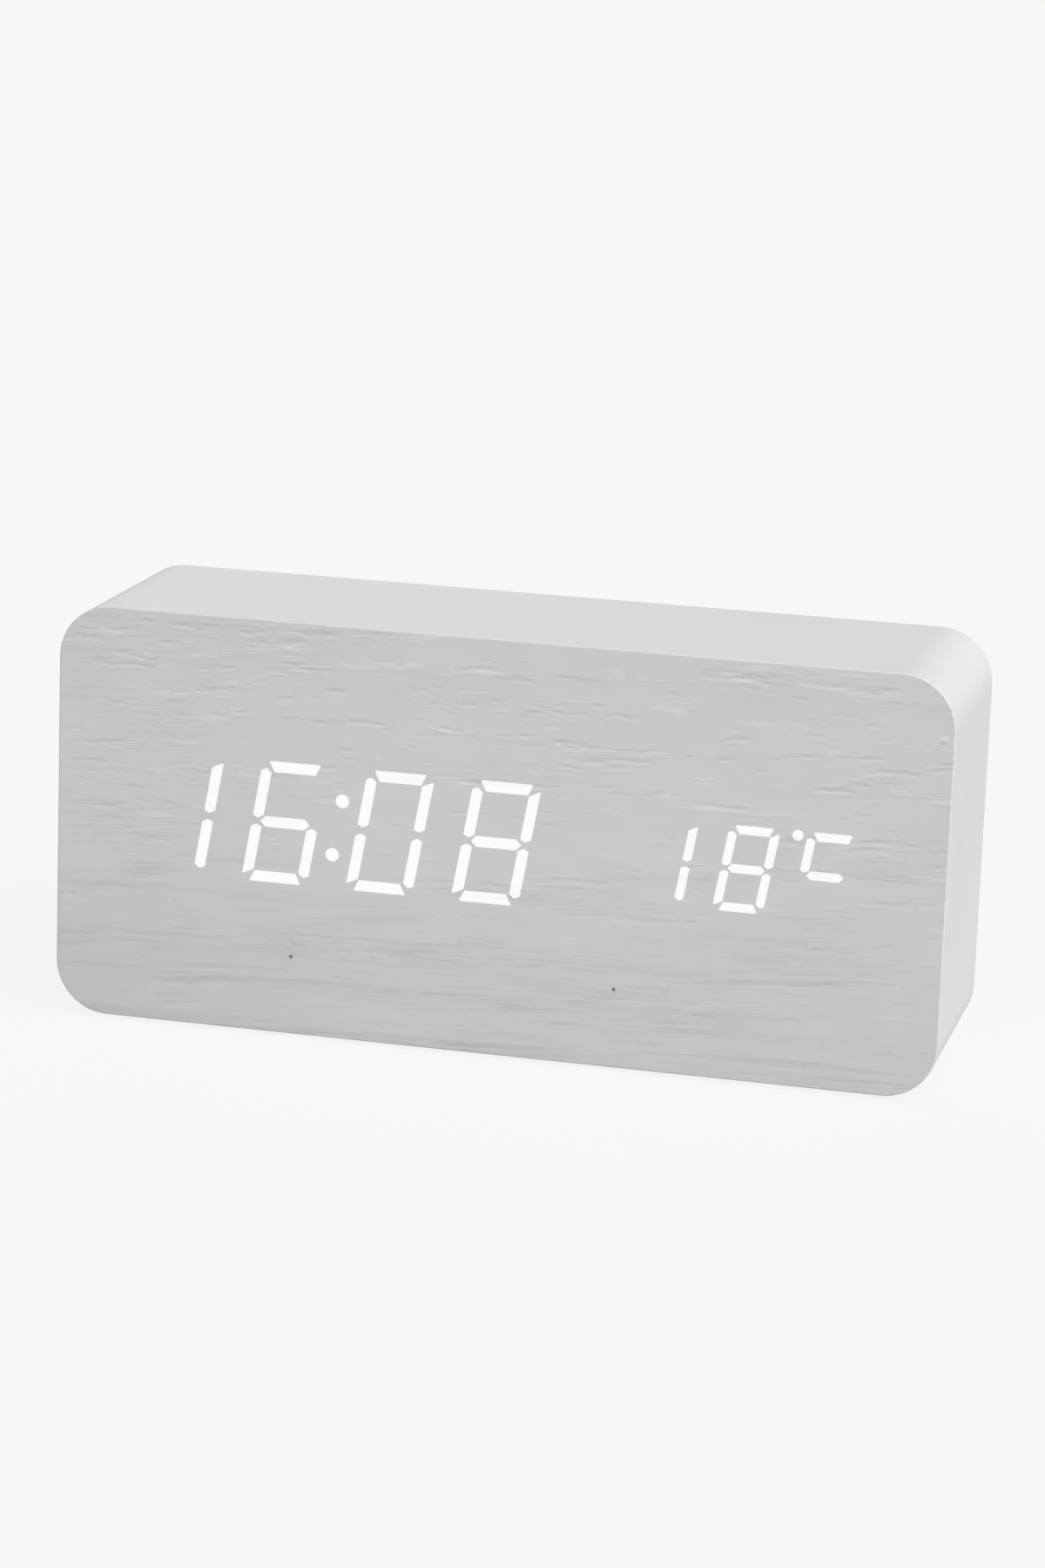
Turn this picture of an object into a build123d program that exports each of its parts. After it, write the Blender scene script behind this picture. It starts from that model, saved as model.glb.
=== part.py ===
"""A white box clock for a desk, whose light digits shine through the front sheet. Millimetres, +Z up.

The front faces -Y, the origin is on the resting plane under the middle of the case.
"""

import math
import os

from build123d import *

# Case
case_width = 150.0
case_height = 70.0
case_depth = 40.0
corner_radius = 9.0
front_edge_break = 0.25
veneer_thickness = 0.6
wrap_thickness = 0.4
side_wall = 6.0
front_wall = 4.0
cavity_radius = 5.0
rear_rim = 4.0
pillar_radius = 6.5
cover_screw_inset = 10.5
pad_radius = 4.0
pad_thickness = 0.8
pad_inset_x = 13.0
pad_inset_y = 9.0

# Digits of the time, with the middle of their row measured from the middle of the case
slant = 9.4
time_place_share = -0.1762
time_rise = 1.07
time_pitch_share = 0.12
time_half_width = 4.79
time_half_height = 9.4
time_stroke = 1.85
time_gap = 0.35
time_digits = ["one", "six", "zero", "eight"]
colon_radius = 1.15
colon_rise = 4.6

# Digits of the temperature
ones_place_share = 0.2818
tens_pitch_share = 0.08933
unit_pitch_share = 0.0858
temperature_rise = 0.6
temperature_half_width = 3.47
temperature_half_height = 6.49
temperature_stroke = 1.47
temperature_gap = 0.25
temperature_digits = ["one", "eight", "celsius"]
degree_radius = 0.9
degree_gap_share = 0.653
lit_corner = 0.18

# Light shield, lamps and display board
window_margin = 1.5
window_radius = 2.0
shield_clearance = 0.2
flange_thickness = 1.5
flange_edge = 2.0
flange_drop = 15.5
flange_rise = 17.3
led_length = 1.5
led_width = 0.8
led_height = 0.6
guide_lamp_gap = 0.2
board_thickness = 1.6
board_drop = 16.5
tongue_side = 8.5
tongue_edge = 3.0
board_corner = 1.0
display_screw_gap = 2.9
pillar_clearance = 0.5
display_screw_drop = 13.3
display_screw_rise = 15.1
display_screw_bite = 2.6

# Pinholes and the sensors behind them
pinhole_radius = 0.22
pinhole_height = 13.3
microphone_share = -0.226
microphone_radius = 3.0
microphone_length = 2.9
microphone_felt_radius = 2.2
microphone_felt_depth = 0.2
light_sensor_share = 0.14133
light_sensor_radius = 1.5
light_sensor_length = 2.8
sensor_clearance = 0.2

# Parts on the back of the display board
chip_x = -6.0
chip_rise = 2.0
chip_length = 17.9
chip_width = 7.5
chip_height = 2.3
chip_leg_count = 14
chip_leg_width = 0.42
chip_leg_gap = 0.85
chip_leg_reach = 1.4
chip_leg_height = 1.1
crystal_x = 14.0
crystal_rise = 2.0
crystal_radius = 1.5
crystal_length = 8.0
resistor_x = 36.0
resistor_rise = 0.0
resistor_length = 1.6
resistor_width = 0.8
resistor_height = 0.5
resistor_gap = 0.8
resistor_columns = 4
resistor_rows = 2

# Screws
screw_radius = 1.0
screw_head_radius = 1.9
screw_head_height = 1.3
screw_cross_length = 2.2
screw_cross_width = 0.6
screw_cross_depth = 0.6
screw_clearance = 0.1
pilot_clearance = 0.05
cover_screw_radius = 1.3
cover_screw_head_radius = 2.6
cover_screw_head_height = 1.4
cover_screw_bite = 9.0

# Rear cover
cover_inset = 1.2
cover_thickness = 2.5
cover_clearance = 0.15
cover_edge_radius = 0.4
cover_head_sink = 0.2
post_length = 8.7
post_radius = 2.6
post_inset = 3.5
post_bite = 5.0
vent_count = 5
vent_length = 5.0
vent_width = 1.2
vent_bar = 1.2
sound_hole_radius = 0.8
sound_ring_radius = 3.6
sound_hole_count = 6
scoop_radius = 9.0
scoop_depth = 1.3

# Control board and what stands on it
control_pillar_gap = 1.0
control_tray_gap = 3.4
control_height = 42.0
button_pitch_share = 0.32
button_rise = 8.0
button_radius = 3.5
button_proud = 0.9
button_clearance = 0.25
button_dome = 0.6
button_flange_radius = 4.4
button_flange_thickness = 0.8
button_flange_gap = 0.15
button_post_radius = 1.5
button_well_wall = 1.0
button_well_depth = 1.6
button_mark_radius = 1.7
button_mark_stroke = 0.6
button_mark_depth = 0.3
switch_size = 6.0
switch_height = 3.5
switch_bore_depth = 2.5
switch_stem_radius = 1.7
switch_stem_clearance = 0.2
switch_stem_proud = 1.5
switch_stem_sunk = 1.5
socket_place_share = -0.27
socket_drop = 10.0
socket_size = 9.0
socket_collar_radius = 3.6
socket_bore_radius = 1.9
socket_bore_depth = 9.0
socket_pin_radius = 0.65
socket_pin_recess = 0.8
socket_clearance = 0.2
buzzer_place_share = 0.24
buzzer_drop = 8.5
buzzer_radius = 6.0
buzzer_height = 6.5
buzzer_port_radius = 1.0
buzzer_port_depth = 1.2
sensor_place_share = -0.04
sensor_drop = 12.0
sensor_bead_radius = 1.3
sensor_leg_radius = 0.25
sensor_leg_offset = 0.6
sensor_leg_length = 4.5

# Cable between the two boards
connector_width = 15.0
connector_height = 6.0
connector_depth = 5.5
connector_rise = 6.0
cable_width = 12.7
cable_thickness = 0.9
cable_straight = 3.0

# Battery bay
tray_inset = 47.7
cell_radius = 5.25
cell_length = 44.5
cell_nub_radius = 1.9
cell_nub_length = 1.0
cell_edge = 0.5
cell_gap = 0.4
cell_count = 3
cell_clearance = 0.3
cell_head_room = 0.7
tray_wall = 1.4
tray_floor = 1.5
tray_barrel_gap = 0.3
cradle_thickness = 1.4
cradle_height = 4.0
cradle_offset = 11.0
lug_length = 6.4
lug_height = 6.0
lug_thickness = 1.5
right_lug_offset = 7.0
left_lug_drop = 1.0
boss_height = 3.0
boss_radius = 2.5
tray_screw_bite = 4.5
contact_thickness = 0.4
contact_width = 9.0
contact_height = 9.0
leaf_bow = 3.2
leaf_chord = 7.0
leaf_thickness = 0.35
leaf_width = 5.0
tab_width = 2.4
tab_thickness = 0.5
tab_reach = 2.0
tab_clearance = 0.1
lead_radius = 0.65
lead_lift = 0.05
lead_run = 2.0
lead_bend = 1.5
lead_over = 2.5
lead_wall_gap = 0.6
lead_pad_reach = 2.5
positive_pad_drop = 1.5
negative_pad_rise = 2.5

# Battery door
door_side_lap = 0.1
door_foot_lap = 0.4
door_thickness = 2.0
door_clearance = 0.25
door_pin_radius = 0.9
door_pin_length = 2.4
door_pin_clearance = 0.1
door_ear_width = 4.0
door_ear_half_height = 1.9
door_ear_depth = 1.8
door_corner = 1.0
door_tongue_width = 12.0
door_tongue_height = 8.0
door_slot_width = 0.8
door_ridge_count = 3
door_ridge_length = 8.0
door_ridge_width = 0.8
door_ridge_gap = 1.0
door_ridge_height = 0.4
door_rib_width = 1.2
door_rib_height = 0.5
door_rib_length = 40.0

# Levels from front to rear, and heights
front_y = -case_depth / 2
rear_y = case_depth / 2
veneer_back_y = front_y + veneer_thickness
wall_back_y = veneer_back_y + front_wall
shield_back_y = wall_back_y + flange_thickness
board_back_y = shield_back_y + board_thickness
lip_y = rear_y - wrap_thickness
cover_outer_y = rear_y - cover_inset
ledge_y = cover_outer_y - cover_thickness
control_face_y = ledge_y - post_length
control_front_y = control_face_y - board_thickness
mid_z = pad_thickness + case_height / 2
time_z = mid_z + time_rise
temperature_z = mid_z + temperature_rise
pinhole_z = pad_thickness + pinhole_height
microphone_x = microphone_share * case_width
light_sensor_x = light_sensor_share * case_width
pinholes = [(microphone_x, pinhole_z), (light_sensor_x, pinhole_z)]

# Outlines that several pieces share
body_width = case_width - 2 * wrap_thickness
body_height = case_height - 2 * wrap_thickness
body_radius = corner_radius - wrap_thickness
cavity_width = case_width - 2 * side_wall
cavity_height = case_height - 2 * side_wall
rebate_width = case_width - 2 * rear_rim
rebate_height = case_height - 2 * rear_rim
rebate_radius = corner_radius - rear_rim
cover_screw_spacing_x = case_width - 2 * cover_screw_inset
cover_screw_spacing_z = case_height - 2 * cover_screw_inset
cover_screw_places = [
    (side * cover_screw_spacing_x / 2, mid_z + rise * cover_screw_spacing_z / 2)
    for side in (-1, 1)
    for rise in (-1, 1)
]
flange_width = cavity_width - 2 * flange_edge
tongue_left = tongue_side - microphone_x
tongue_right = tongue_side + light_sensor_x
tongue_drop = cavity_height / 2 - tongue_edge

# Inside of the battery bay, a stack of cells that lie along X
tray_x = case_width / 2 - tray_inset
cell_pitch = 2 * cell_radius + cell_gap
bay_length = cell_length + leaf_bow + leaf_thickness / 2 + 2 * contact_thickness + cell_clearance
bay_height = (cell_count - 1) * cell_pitch + 2 * (cell_radius + cell_clearance)
bay_left_x = tray_x - bay_length / 2
bay_right_x = tray_x + bay_length / 2
tray_length = bay_length + 2 * tray_wall
tray_height = bay_height + 2 * tray_wall
tray_left_x = tray_x - tray_length / 2
cell_y = ledge_y - cell_head_room - cell_radius
bay_floor_y = cell_y - cell_radius - cell_clearance
tray_back_y = bay_floor_y - tray_floor

# The door covers the tray; its barrel is as thick as twice the door, so that it ends flush with the cover
barrel_radius = door_thickness
door_width = tray_length + 2 * door_side_lap
door_height = 2 * barrel_radius + tray_barrel_gap + tray_height - door_foot_lap
door_top_z = mid_z + door_height / 2
door_bottom_z = door_top_z - door_height
door_axis_y = cover_outer_y - barrel_radius
door_axis_z = door_top_z - barrel_radius
door_inner_y = cover_outer_y - door_thickness

# Heights in the bay, and the lugs of the tray: one on its left, two on its right
tray_top_z = door_axis_z - barrel_radius - tray_barrel_gap
tray_z = tray_top_z - tray_height / 2
row_heights = [tray_z + (row - (cell_count - 1) / 2) * cell_pitch for row in range(cell_count)]
lug_x = tray_length / 2 + lug_length / 2
lug_places = [
    (tray_x - lug_x, mid_z - left_lug_drop),
    (tray_x + lug_x, tray_z - right_lug_offset),
    (tray_x + lug_x, tray_z + right_lug_offset),
]
lug_face_y = ledge_y - boss_height

# Places on the rear: the control board fills the room between the pillars and the tray
control_left_x = cover_screw_inset + pillar_radius + control_pillar_gap - case_width / 2
control_right_x = tray_left_x - control_tray_gap
control_width = control_right_x - control_left_x
control_x = (control_left_x + control_right_x) / 2
button_pitch = button_pitch_share * control_width
button_z = mid_z + button_rise
button_places = {
    "set": (control_x - button_pitch, button_z),
    "up": (control_x, button_z),
    "down": (control_x + button_pitch, button_z),
}
socket_place = (control_x + socket_place_share * control_width, mid_z - socket_drop)
buzzer_place = (control_x + buzzer_place_share * control_width, mid_z - buzzer_drop)
sensor_place = (control_x + sensor_place_share * control_width, mid_z - sensor_drop)
post_places = [
    (control_x + side * (control_width / 2 - post_inset), mid_z + rise * (control_height / 2 - post_inset))
    for side in (-1, 1)
    for rise in (-1, 1)
]
lead_y = control_face_y + lead_radius + lead_lift
lead_pad_x = control_right_x - lead_pad_reach

lean = math.tan(math.radians(slant))

# Segments of a digit, named round from the top bar, with the middle bar last
lit_segments = {
    "zero": "abcdef",
    "one": "bc",
    "six": "acdefg",
    "eight": "abcdefg",
    "celsius": "afg",
}
all_segments = "abcdefg"


def level(y):
    """Plane at depth y that is seen from the front: its x runs along X, its y up, its normal forward."""
    return Plane(origin=(0, y, 0), x_dir=(1, 0, 0), z_dir=(0, -1, 0))


def segment_outlines(half_width, half_height, stroke, gap):
    """Corner points of each segment about the middle of a digit that leans over."""
    half = stroke / 2
    outer = half_width + half
    inner = half_width - half
    bar = [
        (gap - half_width, half_height + half),
        (half_width - gap, half_height + half),
        (inner - gap, half_height - half),
        (gap - inner, half_height - half),
    ]
    rest = 1.5 * gap
    tip = half_width - rest
    neck = tip - half
    middle = [(-tip, 0), (-neck, half), (neck, half), (tip, 0), (neck, -half), (-neck, -half)]
    foot = [(outer, rest + half / 2), (half_width, rest), (inner, rest + half / 2)]
    head = (inner, half_height - half - gap / 2)
    post = [head, (half_width, half_height - gap), (outer, half_height - 2 * gap), *foot]
    # The posts at the upper right and lower left run out to a sharp corner
    sharp_post = [head, (outer, half_height - gap / 2), *foot]
    shift = half_height * lean
    return {
        "a": [(u + shift, v) for u, v in bar],
        "b": [(u + v * lean, v) for u, v in sharp_post],
        "c": [(u - v * lean, -v) for u, v in post],
        "d": [(u - shift, -v) for u, v in bar],
        "e": [(-u - v * lean, -v) for u, v in sharp_post],
        "f": [(-u + v * lean, v) for u, v in post],
        "g": middle,
    }


def lamp_places(half_width, half_height):
    """Middle of each segment, with the angle that its lamp lies at."""
    shift = half_height * lean
    upright = 90 - slant
    side = half_height / 2
    return {
        "a": ((shift, half_height), 0),
        "b": ((half_width + side * lean, side), upright),
        "c": ((half_width - side * lean, -side), upright),
        "d": ((-shift, -half_height), 0),
        "e": ((-half_width - side * lean, -side), upright),
        "f": ((-half_width + side * lean, side), upright),
        "g": ((0, 0), 0),
    }


def segment_sketch(places, letters_of, outlines, corner=0):
    """Faces of the wanted segments of a row of digits, with rounded corners where a corner is given."""
    with BuildSketch() as drawn:
        for (x, z), letters in zip(places, letters_of):
            for letter in letters:
                Polygon(*[(x + u, z + v) for u, v in outlines[letter]])
        if corner:
            fillet(drawn.vertices(), corner)
    return drawn.sketch


def dot_sketch(places, radius):
    """Round faces for the dots of the display."""
    with BuildSketch() as drawn:
        with Locations(*places):
            Circle(radius)
    return drawn.sketch


def pan_screws(places, seat_y, facing, bite, radius, head_radius, head_height):
    """Cross-head screws seated at seat_y; facing is 1 for heads that look to the rear, -1 to the front."""
    with BuildPart() as screws:
        with BuildSketch(level(seat_y)):
            with Locations(*places):
                Circle(head_radius)
        extrude(amount=-facing * head_height)
        rim = screws.faces().filter_by(Axis.Y).group_by(Axis.Y)[-1 if facing > 0 else 0]
        fillet(rim.edges(), head_height / 2)
        with BuildSketch(level(seat_y)):
            with Locations(*places):
                Circle(radius)
        extrude(amount=facing * bite)
        with BuildSketch(level(seat_y + facing * head_height)):
            with Locations(*places):
                Rectangle(screw_cross_length, screw_cross_width)
                Rectangle(screw_cross_width, screw_cross_length)
        extrude(amount=facing * screw_cross_depth, mode=Mode.SUBTRACT)
    return screws.part


# The two rows of digits
time_x = time_place_share * case_width
time_pitch = time_pitch_share * case_width
ones_x = ones_place_share * case_width
tens_pitch = tens_pitch_share * case_width
unit_pitch = unit_pitch_share * case_width
time_count = len(time_digits)
time_places = [(time_x + (i - (time_count - 1) / 2) * time_pitch, time_z) for i in range(time_count)]
temperature_places = [
    (ones_x - tens_pitch, temperature_z),
    (ones_x, temperature_z),
    (ones_x + unit_pitch, temperature_z),
]
colon_places = [
    (time_x + rise * colon_rise * lean, time_z + rise * colon_rise) for rise in (-1, 1)
]
digit_edge = temperature_half_width + temperature_stroke / 2
degree_x = ones_x + digit_edge + degree_gap_share * (unit_pitch - 2 * digit_edge)
degree_places = [
    (degree_x + temperature_half_height * lean, temperature_z + temperature_half_height)
]
time_outlines = segment_outlines(time_half_width, time_half_height, time_stroke, time_gap)
temperature_outlines = segment_outlines(
    temperature_half_width, temperature_half_height, temperature_stroke, temperature_gap
)
time_letters = [lit_segments[digit] for digit in time_digits]
temperature_letters = [lit_segments[digit] for digit in temperature_digits]
time_lit = segment_sketch(time_places, time_letters, time_outlines, lit_corner)
temperature_lit = segment_sketch(
    temperature_places, temperature_letters, temperature_outlines, lit_corner
)
time_all = segment_sketch(time_places, [all_segments] * time_count, time_outlines)
temperature_all = segment_sketch(
    temperature_places, [all_segments] * len(temperature_digits), temperature_outlines
)
colon_dots = dot_sketch(colon_places, colon_radius)
degree_dot = dot_sketch(degree_places, degree_radius)

# Windows of the front wall, each as large as its row of digits and a margin
time_reach = time_half_width + time_stroke / 2 + time_half_height * lean + window_margin
time_window = (
    time_places[-1][0] - time_places[0][0] + 2 * time_reach,
    2 * time_half_height + time_stroke + 2 * window_margin,
)
temperature_reach = (
    temperature_half_width + temperature_stroke / 2 + temperature_half_height * lean + window_margin
)
temperature_window = (
    temperature_places[-1][0] - temperature_places[0][0] + 2 * temperature_reach,
    2 * temperature_half_height + temperature_stroke + 2 * window_margin,
)
windows = [
    ((time_x, time_z), time_window),
    (((temperature_places[0][0] + temperature_places[-1][0]) / 2, temperature_z), temperature_window),
]
display_screw_x = case_width / 2 - cover_screw_inset - pillar_radius - display_screw_gap
display_screw_places = [
    (side * display_screw_x, mid_z + rise)
    for side in (-1, 1)
    for rise in (-display_screw_drop, display_screw_rise)
]

# Case routed from board: a front wall, a cavity with a pillar in each corner, and a rebate for the cover
with BuildPart() as case_shell:
    with BuildSketch(level(lip_y)):
        with Locations((0, mid_z)):
            RectangleRounded(body_width, body_height, body_radius)
    extrude(amount=lip_y - veneer_back_y)
    with BuildSketch(level(ledge_y)):
        with Locations((0, mid_z)):
            RectangleRounded(cavity_width, cavity_height, cavity_radius)
            with GridLocations(cover_screw_spacing_x, cover_screw_spacing_z, 2, 2):
                Circle(pillar_radius, mode=Mode.SUBTRACT)
    extrude(amount=ledge_y - wall_back_y, mode=Mode.SUBTRACT)
    with BuildSketch(level(lip_y)):
        with Locations((0, mid_z)):
            RectangleRounded(rebate_width, rebate_height, rebate_radius)
    extrude(amount=lip_y - ledge_y, mode=Mode.SUBTRACT)
    with BuildSketch(level(ledge_y)):
        with Locations((0, mid_z)):
            with GridLocations(cover_screw_spacing_x, cover_screw_spacing_z, 2, 2):
                Circle(cover_screw_radius + pilot_clearance)
    extrude(amount=cover_screw_bite, mode=Mode.SUBTRACT)
    with BuildSketch(level(wall_back_y)):
        for place, (width, height) in windows:
            with Locations(place):
                RectangleRounded(width, height, window_radius)
        with Locations(*pinholes):
            Circle(pinhole_radius)
    extrude(amount=front_wall, mode=Mode.SUBTRACT)
    with BuildSketch(level(wall_back_y)):
        with Locations(*display_screw_places):
            Circle(screw_radius + pilot_clearance)
    extrude(amount=display_screw_bite, mode=Mode.SUBTRACT)
    with BuildSketch(level(wall_back_y)):
        with Locations(pinholes[0]):
            Circle(microphone_radius + sensor_clearance)
    extrude(amount=microphone_length - flange_thickness + sensor_clearance, mode=Mode.SUBTRACT)
    with BuildSketch(level(wall_back_y)):
        with Locations(pinholes[1]):
            Circle(light_sensor_radius + sensor_clearance)
    extrude(amount=light_sensor_length - flange_thickness + sensor_clearance, mode=Mode.SUBTRACT)

# Film round the four sides, folded over onto the rear rim
with BuildPart() as side_wrap:
    with BuildSketch(level(rear_y)):
        with Locations((0, mid_z)):
            RectangleRounded(case_width, case_height, corner_radius)
            RectangleRounded(body_width, body_height, body_radius, mode=Mode.SUBTRACT)
    extrude(amount=rear_y - veneer_back_y)
    with BuildSketch(level(rear_y)):
        with Locations((0, mid_z)):
            RectangleRounded(body_width, body_height, body_radius)
            RectangleRounded(rebate_width, rebate_height, rebate_radius, mode=Mode.SUBTRACT)
    extrude(amount=wrap_thickness)

# Front sheet, with the lit stretches and the two pinholes cut out of it
with BuildPart() as front_veneer:
    with BuildSketch(level(veneer_back_y)):
        with Locations((0, mid_z)):
            RectangleRounded(case_width, case_height, corner_radius)
    extrude(amount=veneer_thickness)
    fillet(front_veneer.faces().sort_by(Axis.Y)[0].edges(), front_edge_break)
    with BuildSketch(level(veneer_back_y)):
        add(time_lit)
        add(colon_dots)
        add(temperature_lit)
        add(degree_dot)
        with Locations(*pinholes):
            Circle(pinhole_radius)
    extrude(amount=veneer_thickness, mode=Mode.SUBTRACT)

with BuildPart() as lit_time_digits:
    with BuildSketch(level(veneer_back_y)):
        add(time_lit)
    extrude(amount=veneer_thickness)

with BuildPart() as lit_colon:
    with BuildSketch(level(veneer_back_y)):
        add(colon_dots)
    extrude(amount=veneer_thickness)

with BuildPart() as lit_temperature:
    with BuildSketch(level(veneer_back_y)):
        add(temperature_lit)
        add(degree_dot)
    extrude(amount=veneer_thickness)

# Light shield: a flange behind the front wall, with a raised block in each window and a cavity per segment
with BuildPart() as segment_shield:
    with BuildSketch(level(shield_back_y)):
        with Locations((0, mid_z + (flange_rise - flange_drop) / 2)):
            Rectangle(flange_width, flange_rise + flange_drop)
        with Locations(pinholes[0]):
            Circle(microphone_radius + sensor_clearance, mode=Mode.SUBTRACT)
        with Locations(pinholes[1]):
            Circle(light_sensor_radius + sensor_clearance, mode=Mode.SUBTRACT)
        with Locations(*cover_screw_places):
            Circle(pillar_radius + pillar_clearance, mode=Mode.SUBTRACT)
    extrude(amount=flange_thickness)
    with BuildSketch(level(wall_back_y)):
        for place, (width, height) in windows:
            with Locations(place):
                RectangleRounded(
                    width - 2 * shield_clearance,
                    height - 2 * shield_clearance,
                    window_radius - shield_clearance,
                )
    extrude(amount=front_wall)
    with BuildSketch(level(shield_back_y)):
        add(time_all)
        add(temperature_all)
        add(colon_dots)
        add(degree_dot)
        with Locations(*display_screw_places):
            Circle(screw_radius + screw_clearance)
    extrude(amount=flange_thickness + front_wall, mode=Mode.SUBTRACT)

# Clear fill at the mouth of each cavity
guide_back_y = shield_back_y - led_height - guide_lamp_gap
with BuildPart() as time_segment_guides:
    with BuildSketch(level(guide_back_y)):
        add(time_all)
        add(colon_dots)
    extrude(amount=guide_back_y - veneer_back_y)

with BuildPart() as temperature_segment_guides:
    with BuildSketch(level(guide_back_y)):
        add(temperature_all)
        add(degree_dot)
    extrude(amount=guide_back_y - veneer_back_y)

# One lamp chip in each cavity
with BuildPart() as segment_leds:
    with BuildSketch(level(shield_back_y)):
        rows = [
            (time_places, lamp_places(time_half_width, time_half_height)),
            (temperature_places, lamp_places(temperature_half_width, temperature_half_height)),
        ]
        for places, lamps in rows:
            for x, z in places:
                for (u, v), angle in lamps.values():
                    with Locations((x + u, z + v)):
                        Rectangle(led_length, led_width, rotation=angle)
        with Locations(*colon_places, *degree_places):
            Rectangle(led_length, led_width)
    extrude(amount=led_height)

# Display board behind the shield, with a tongue that reaches down to the two sensors
with BuildPart() as display_board:
    with BuildSketch(level(board_back_y)) as board_outline:
        with Locations((0, mid_z + (flange_rise - board_drop) / 2)):
            Rectangle(flange_width, flange_rise + board_drop)
        with Locations(((tongue_right - tongue_left) / 2, mid_z - (tongue_drop + board_drop) / 2)):
            Rectangle(tongue_right + tongue_left, tongue_drop - board_drop)
        fillet(board_outline.vertices(), board_corner)
        with Locations(*display_screw_places):
            Circle(screw_radius + screw_clearance, mode=Mode.SUBTRACT)
        with Locations(*cover_screw_places):
            Circle(pillar_radius + pillar_clearance, mode=Mode.SUBTRACT)
    extrude(amount=board_thickness)

display_screws = pan_screws(
    display_screw_places,
    board_back_y,
    1,
    board_thickness + flange_thickness + display_screw_bite,
    screw_radius,
    screw_head_radius,
    screw_head_height,
)

# Sensors on the front of the tongue, each in a pocket of the front wall behind its pinhole
with BuildPart() as microphone:
    with BuildSketch(level(shield_back_y)):
        with Locations(pinholes[0]):
            Circle(microphone_radius)
    extrude(amount=microphone_length)
    with BuildSketch(level(shield_back_y - microphone_length)):
        with Locations(pinholes[0]):
            Circle(microphone_felt_radius)
    extrude(amount=-microphone_felt_depth, mode=Mode.SUBTRACT)

with BuildPart() as light_sensor:
    with BuildSketch(level(shield_back_y)):
        with Locations(pinholes[1]):
            Circle(light_sensor_radius)
    extrude(amount=light_sensor_length)
    fillet(light_sensor.faces().sort_by(Axis.Y)[0].edges(), light_sensor_radius / 2)

# Driver chip with a row of legs along its upper and lower edges
with BuildPart() as driver_chip:
    with BuildSketch(level(board_back_y)):
        with Locations((chip_x, mid_z + chip_rise)):
            Rectangle(chip_length, chip_width)
    extrude(amount=-chip_height)
    with BuildSketch(level(board_back_y)):
        with Locations((chip_x, mid_z + chip_rise)):
            leg_pitch = chip_leg_width + chip_leg_gap
            with GridLocations(leg_pitch, chip_width + chip_leg_reach, chip_leg_count, 2):
                Rectangle(chip_leg_width, chip_leg_reach)
    extrude(amount=-chip_leg_height)

# Crystal can lying on the board
with BuildPart() as clock_crystal:
    with BuildSketch(Plane.XY.offset(mid_z + crystal_rise - crystal_length / 2)):
        with Locations((crystal_x, board_back_y + crystal_radius)):
            Circle(crystal_radius)
    extrude(amount=crystal_length)
    fillet(clock_crystal.faces().sort_by(Axis.Z)[-1].edges(), crystal_radius / 4)

with BuildPart() as chip_resistors:
    with BuildSketch(level(board_back_y)):
        with Locations((resistor_x, mid_z + resistor_rise)):
            resistor_pitch = resistor_length + resistor_gap
            with GridLocations(resistor_pitch, resistor_pitch, resistor_columns, resistor_rows):
                Rectangle(resistor_length, resistor_width)
    extrude(amount=-resistor_height)

# Ribbon between the boards: it leaves both connectors upward and turns over in a half circle
connector_z = mid_z + connector_rise
cable_front_y = board_back_y + connector_depth / 2
cable_rear_y = control_front_y - connector_depth / 2
cable_foot_z = connector_z + connector_height / 2
with BuildPart() as display_connector:
    with BuildSketch(level(board_back_y)):
        with Locations((control_x, connector_z)):
            Rectangle(connector_width, connector_height)
    extrude(amount=-connector_depth)

with BuildPart() as control_connector:
    with BuildSketch(level(control_front_y)):
        with Locations((control_x, connector_z)):
            Rectangle(connector_width, connector_height)
    extrude(amount=connector_depth)

with BuildPart() as link_cable:
    with BuildSketch(Plane.YZ.offset(control_x)):
        with BuildLine() as ribbon_path:
            bend_z = cable_foot_z + cable_straight
            rise_line = Line((cable_front_y, cable_foot_z), (cable_front_y, bend_z))
            bend = ThreePointArc(
                rise_line @ 1,
                ((cable_front_y + cable_rear_y) / 2, bend_z + (cable_rear_y - cable_front_y) / 2),
                (cable_rear_y, bend_z),
            )
            Line(bend @ 1, (cable_rear_y, cable_foot_z))
        trace(ribbon_path.line, cable_thickness)
    extrude(amount=cable_width / 2, both=True)

# Control board on the posts of the rear cover
with BuildPart() as control_board:
    with BuildSketch(level(control_face_y)):
        with Locations((control_x, mid_z)):
            RectangleRounded(control_width, control_height, board_corner)
        with Locations(*post_places):
            Circle(screw_radius + screw_clearance, mode=Mode.SUBTRACT)
    extrude(amount=board_thickness)

control_screws = pan_screws(
    post_places,
    control_front_y,
    -1,
    board_thickness + post_bite,
    screw_radius,
    screw_head_radius,
    screw_head_height,
)

# Push switches: square housings with a bore for the stem
switch_top_y = control_face_y + switch_height
with BuildPart() as switch_housings:
    with BuildSketch(level(control_face_y)):
        with Locations(*button_places.values()):
            Rectangle(switch_size, switch_size)
    extrude(amount=-switch_height)
    with BuildSketch(level(switch_top_y)):
        with Locations(*button_places.values()):
            Circle(switch_stem_radius + switch_stem_clearance)
    extrude(amount=switch_bore_depth, mode=Mode.SUBTRACT)

stem_top_y = switch_top_y + switch_stem_proud
stem_foot_y = switch_top_y - switch_stem_sunk
button_flange_y = ledge_y - button_flange_gap


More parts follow.
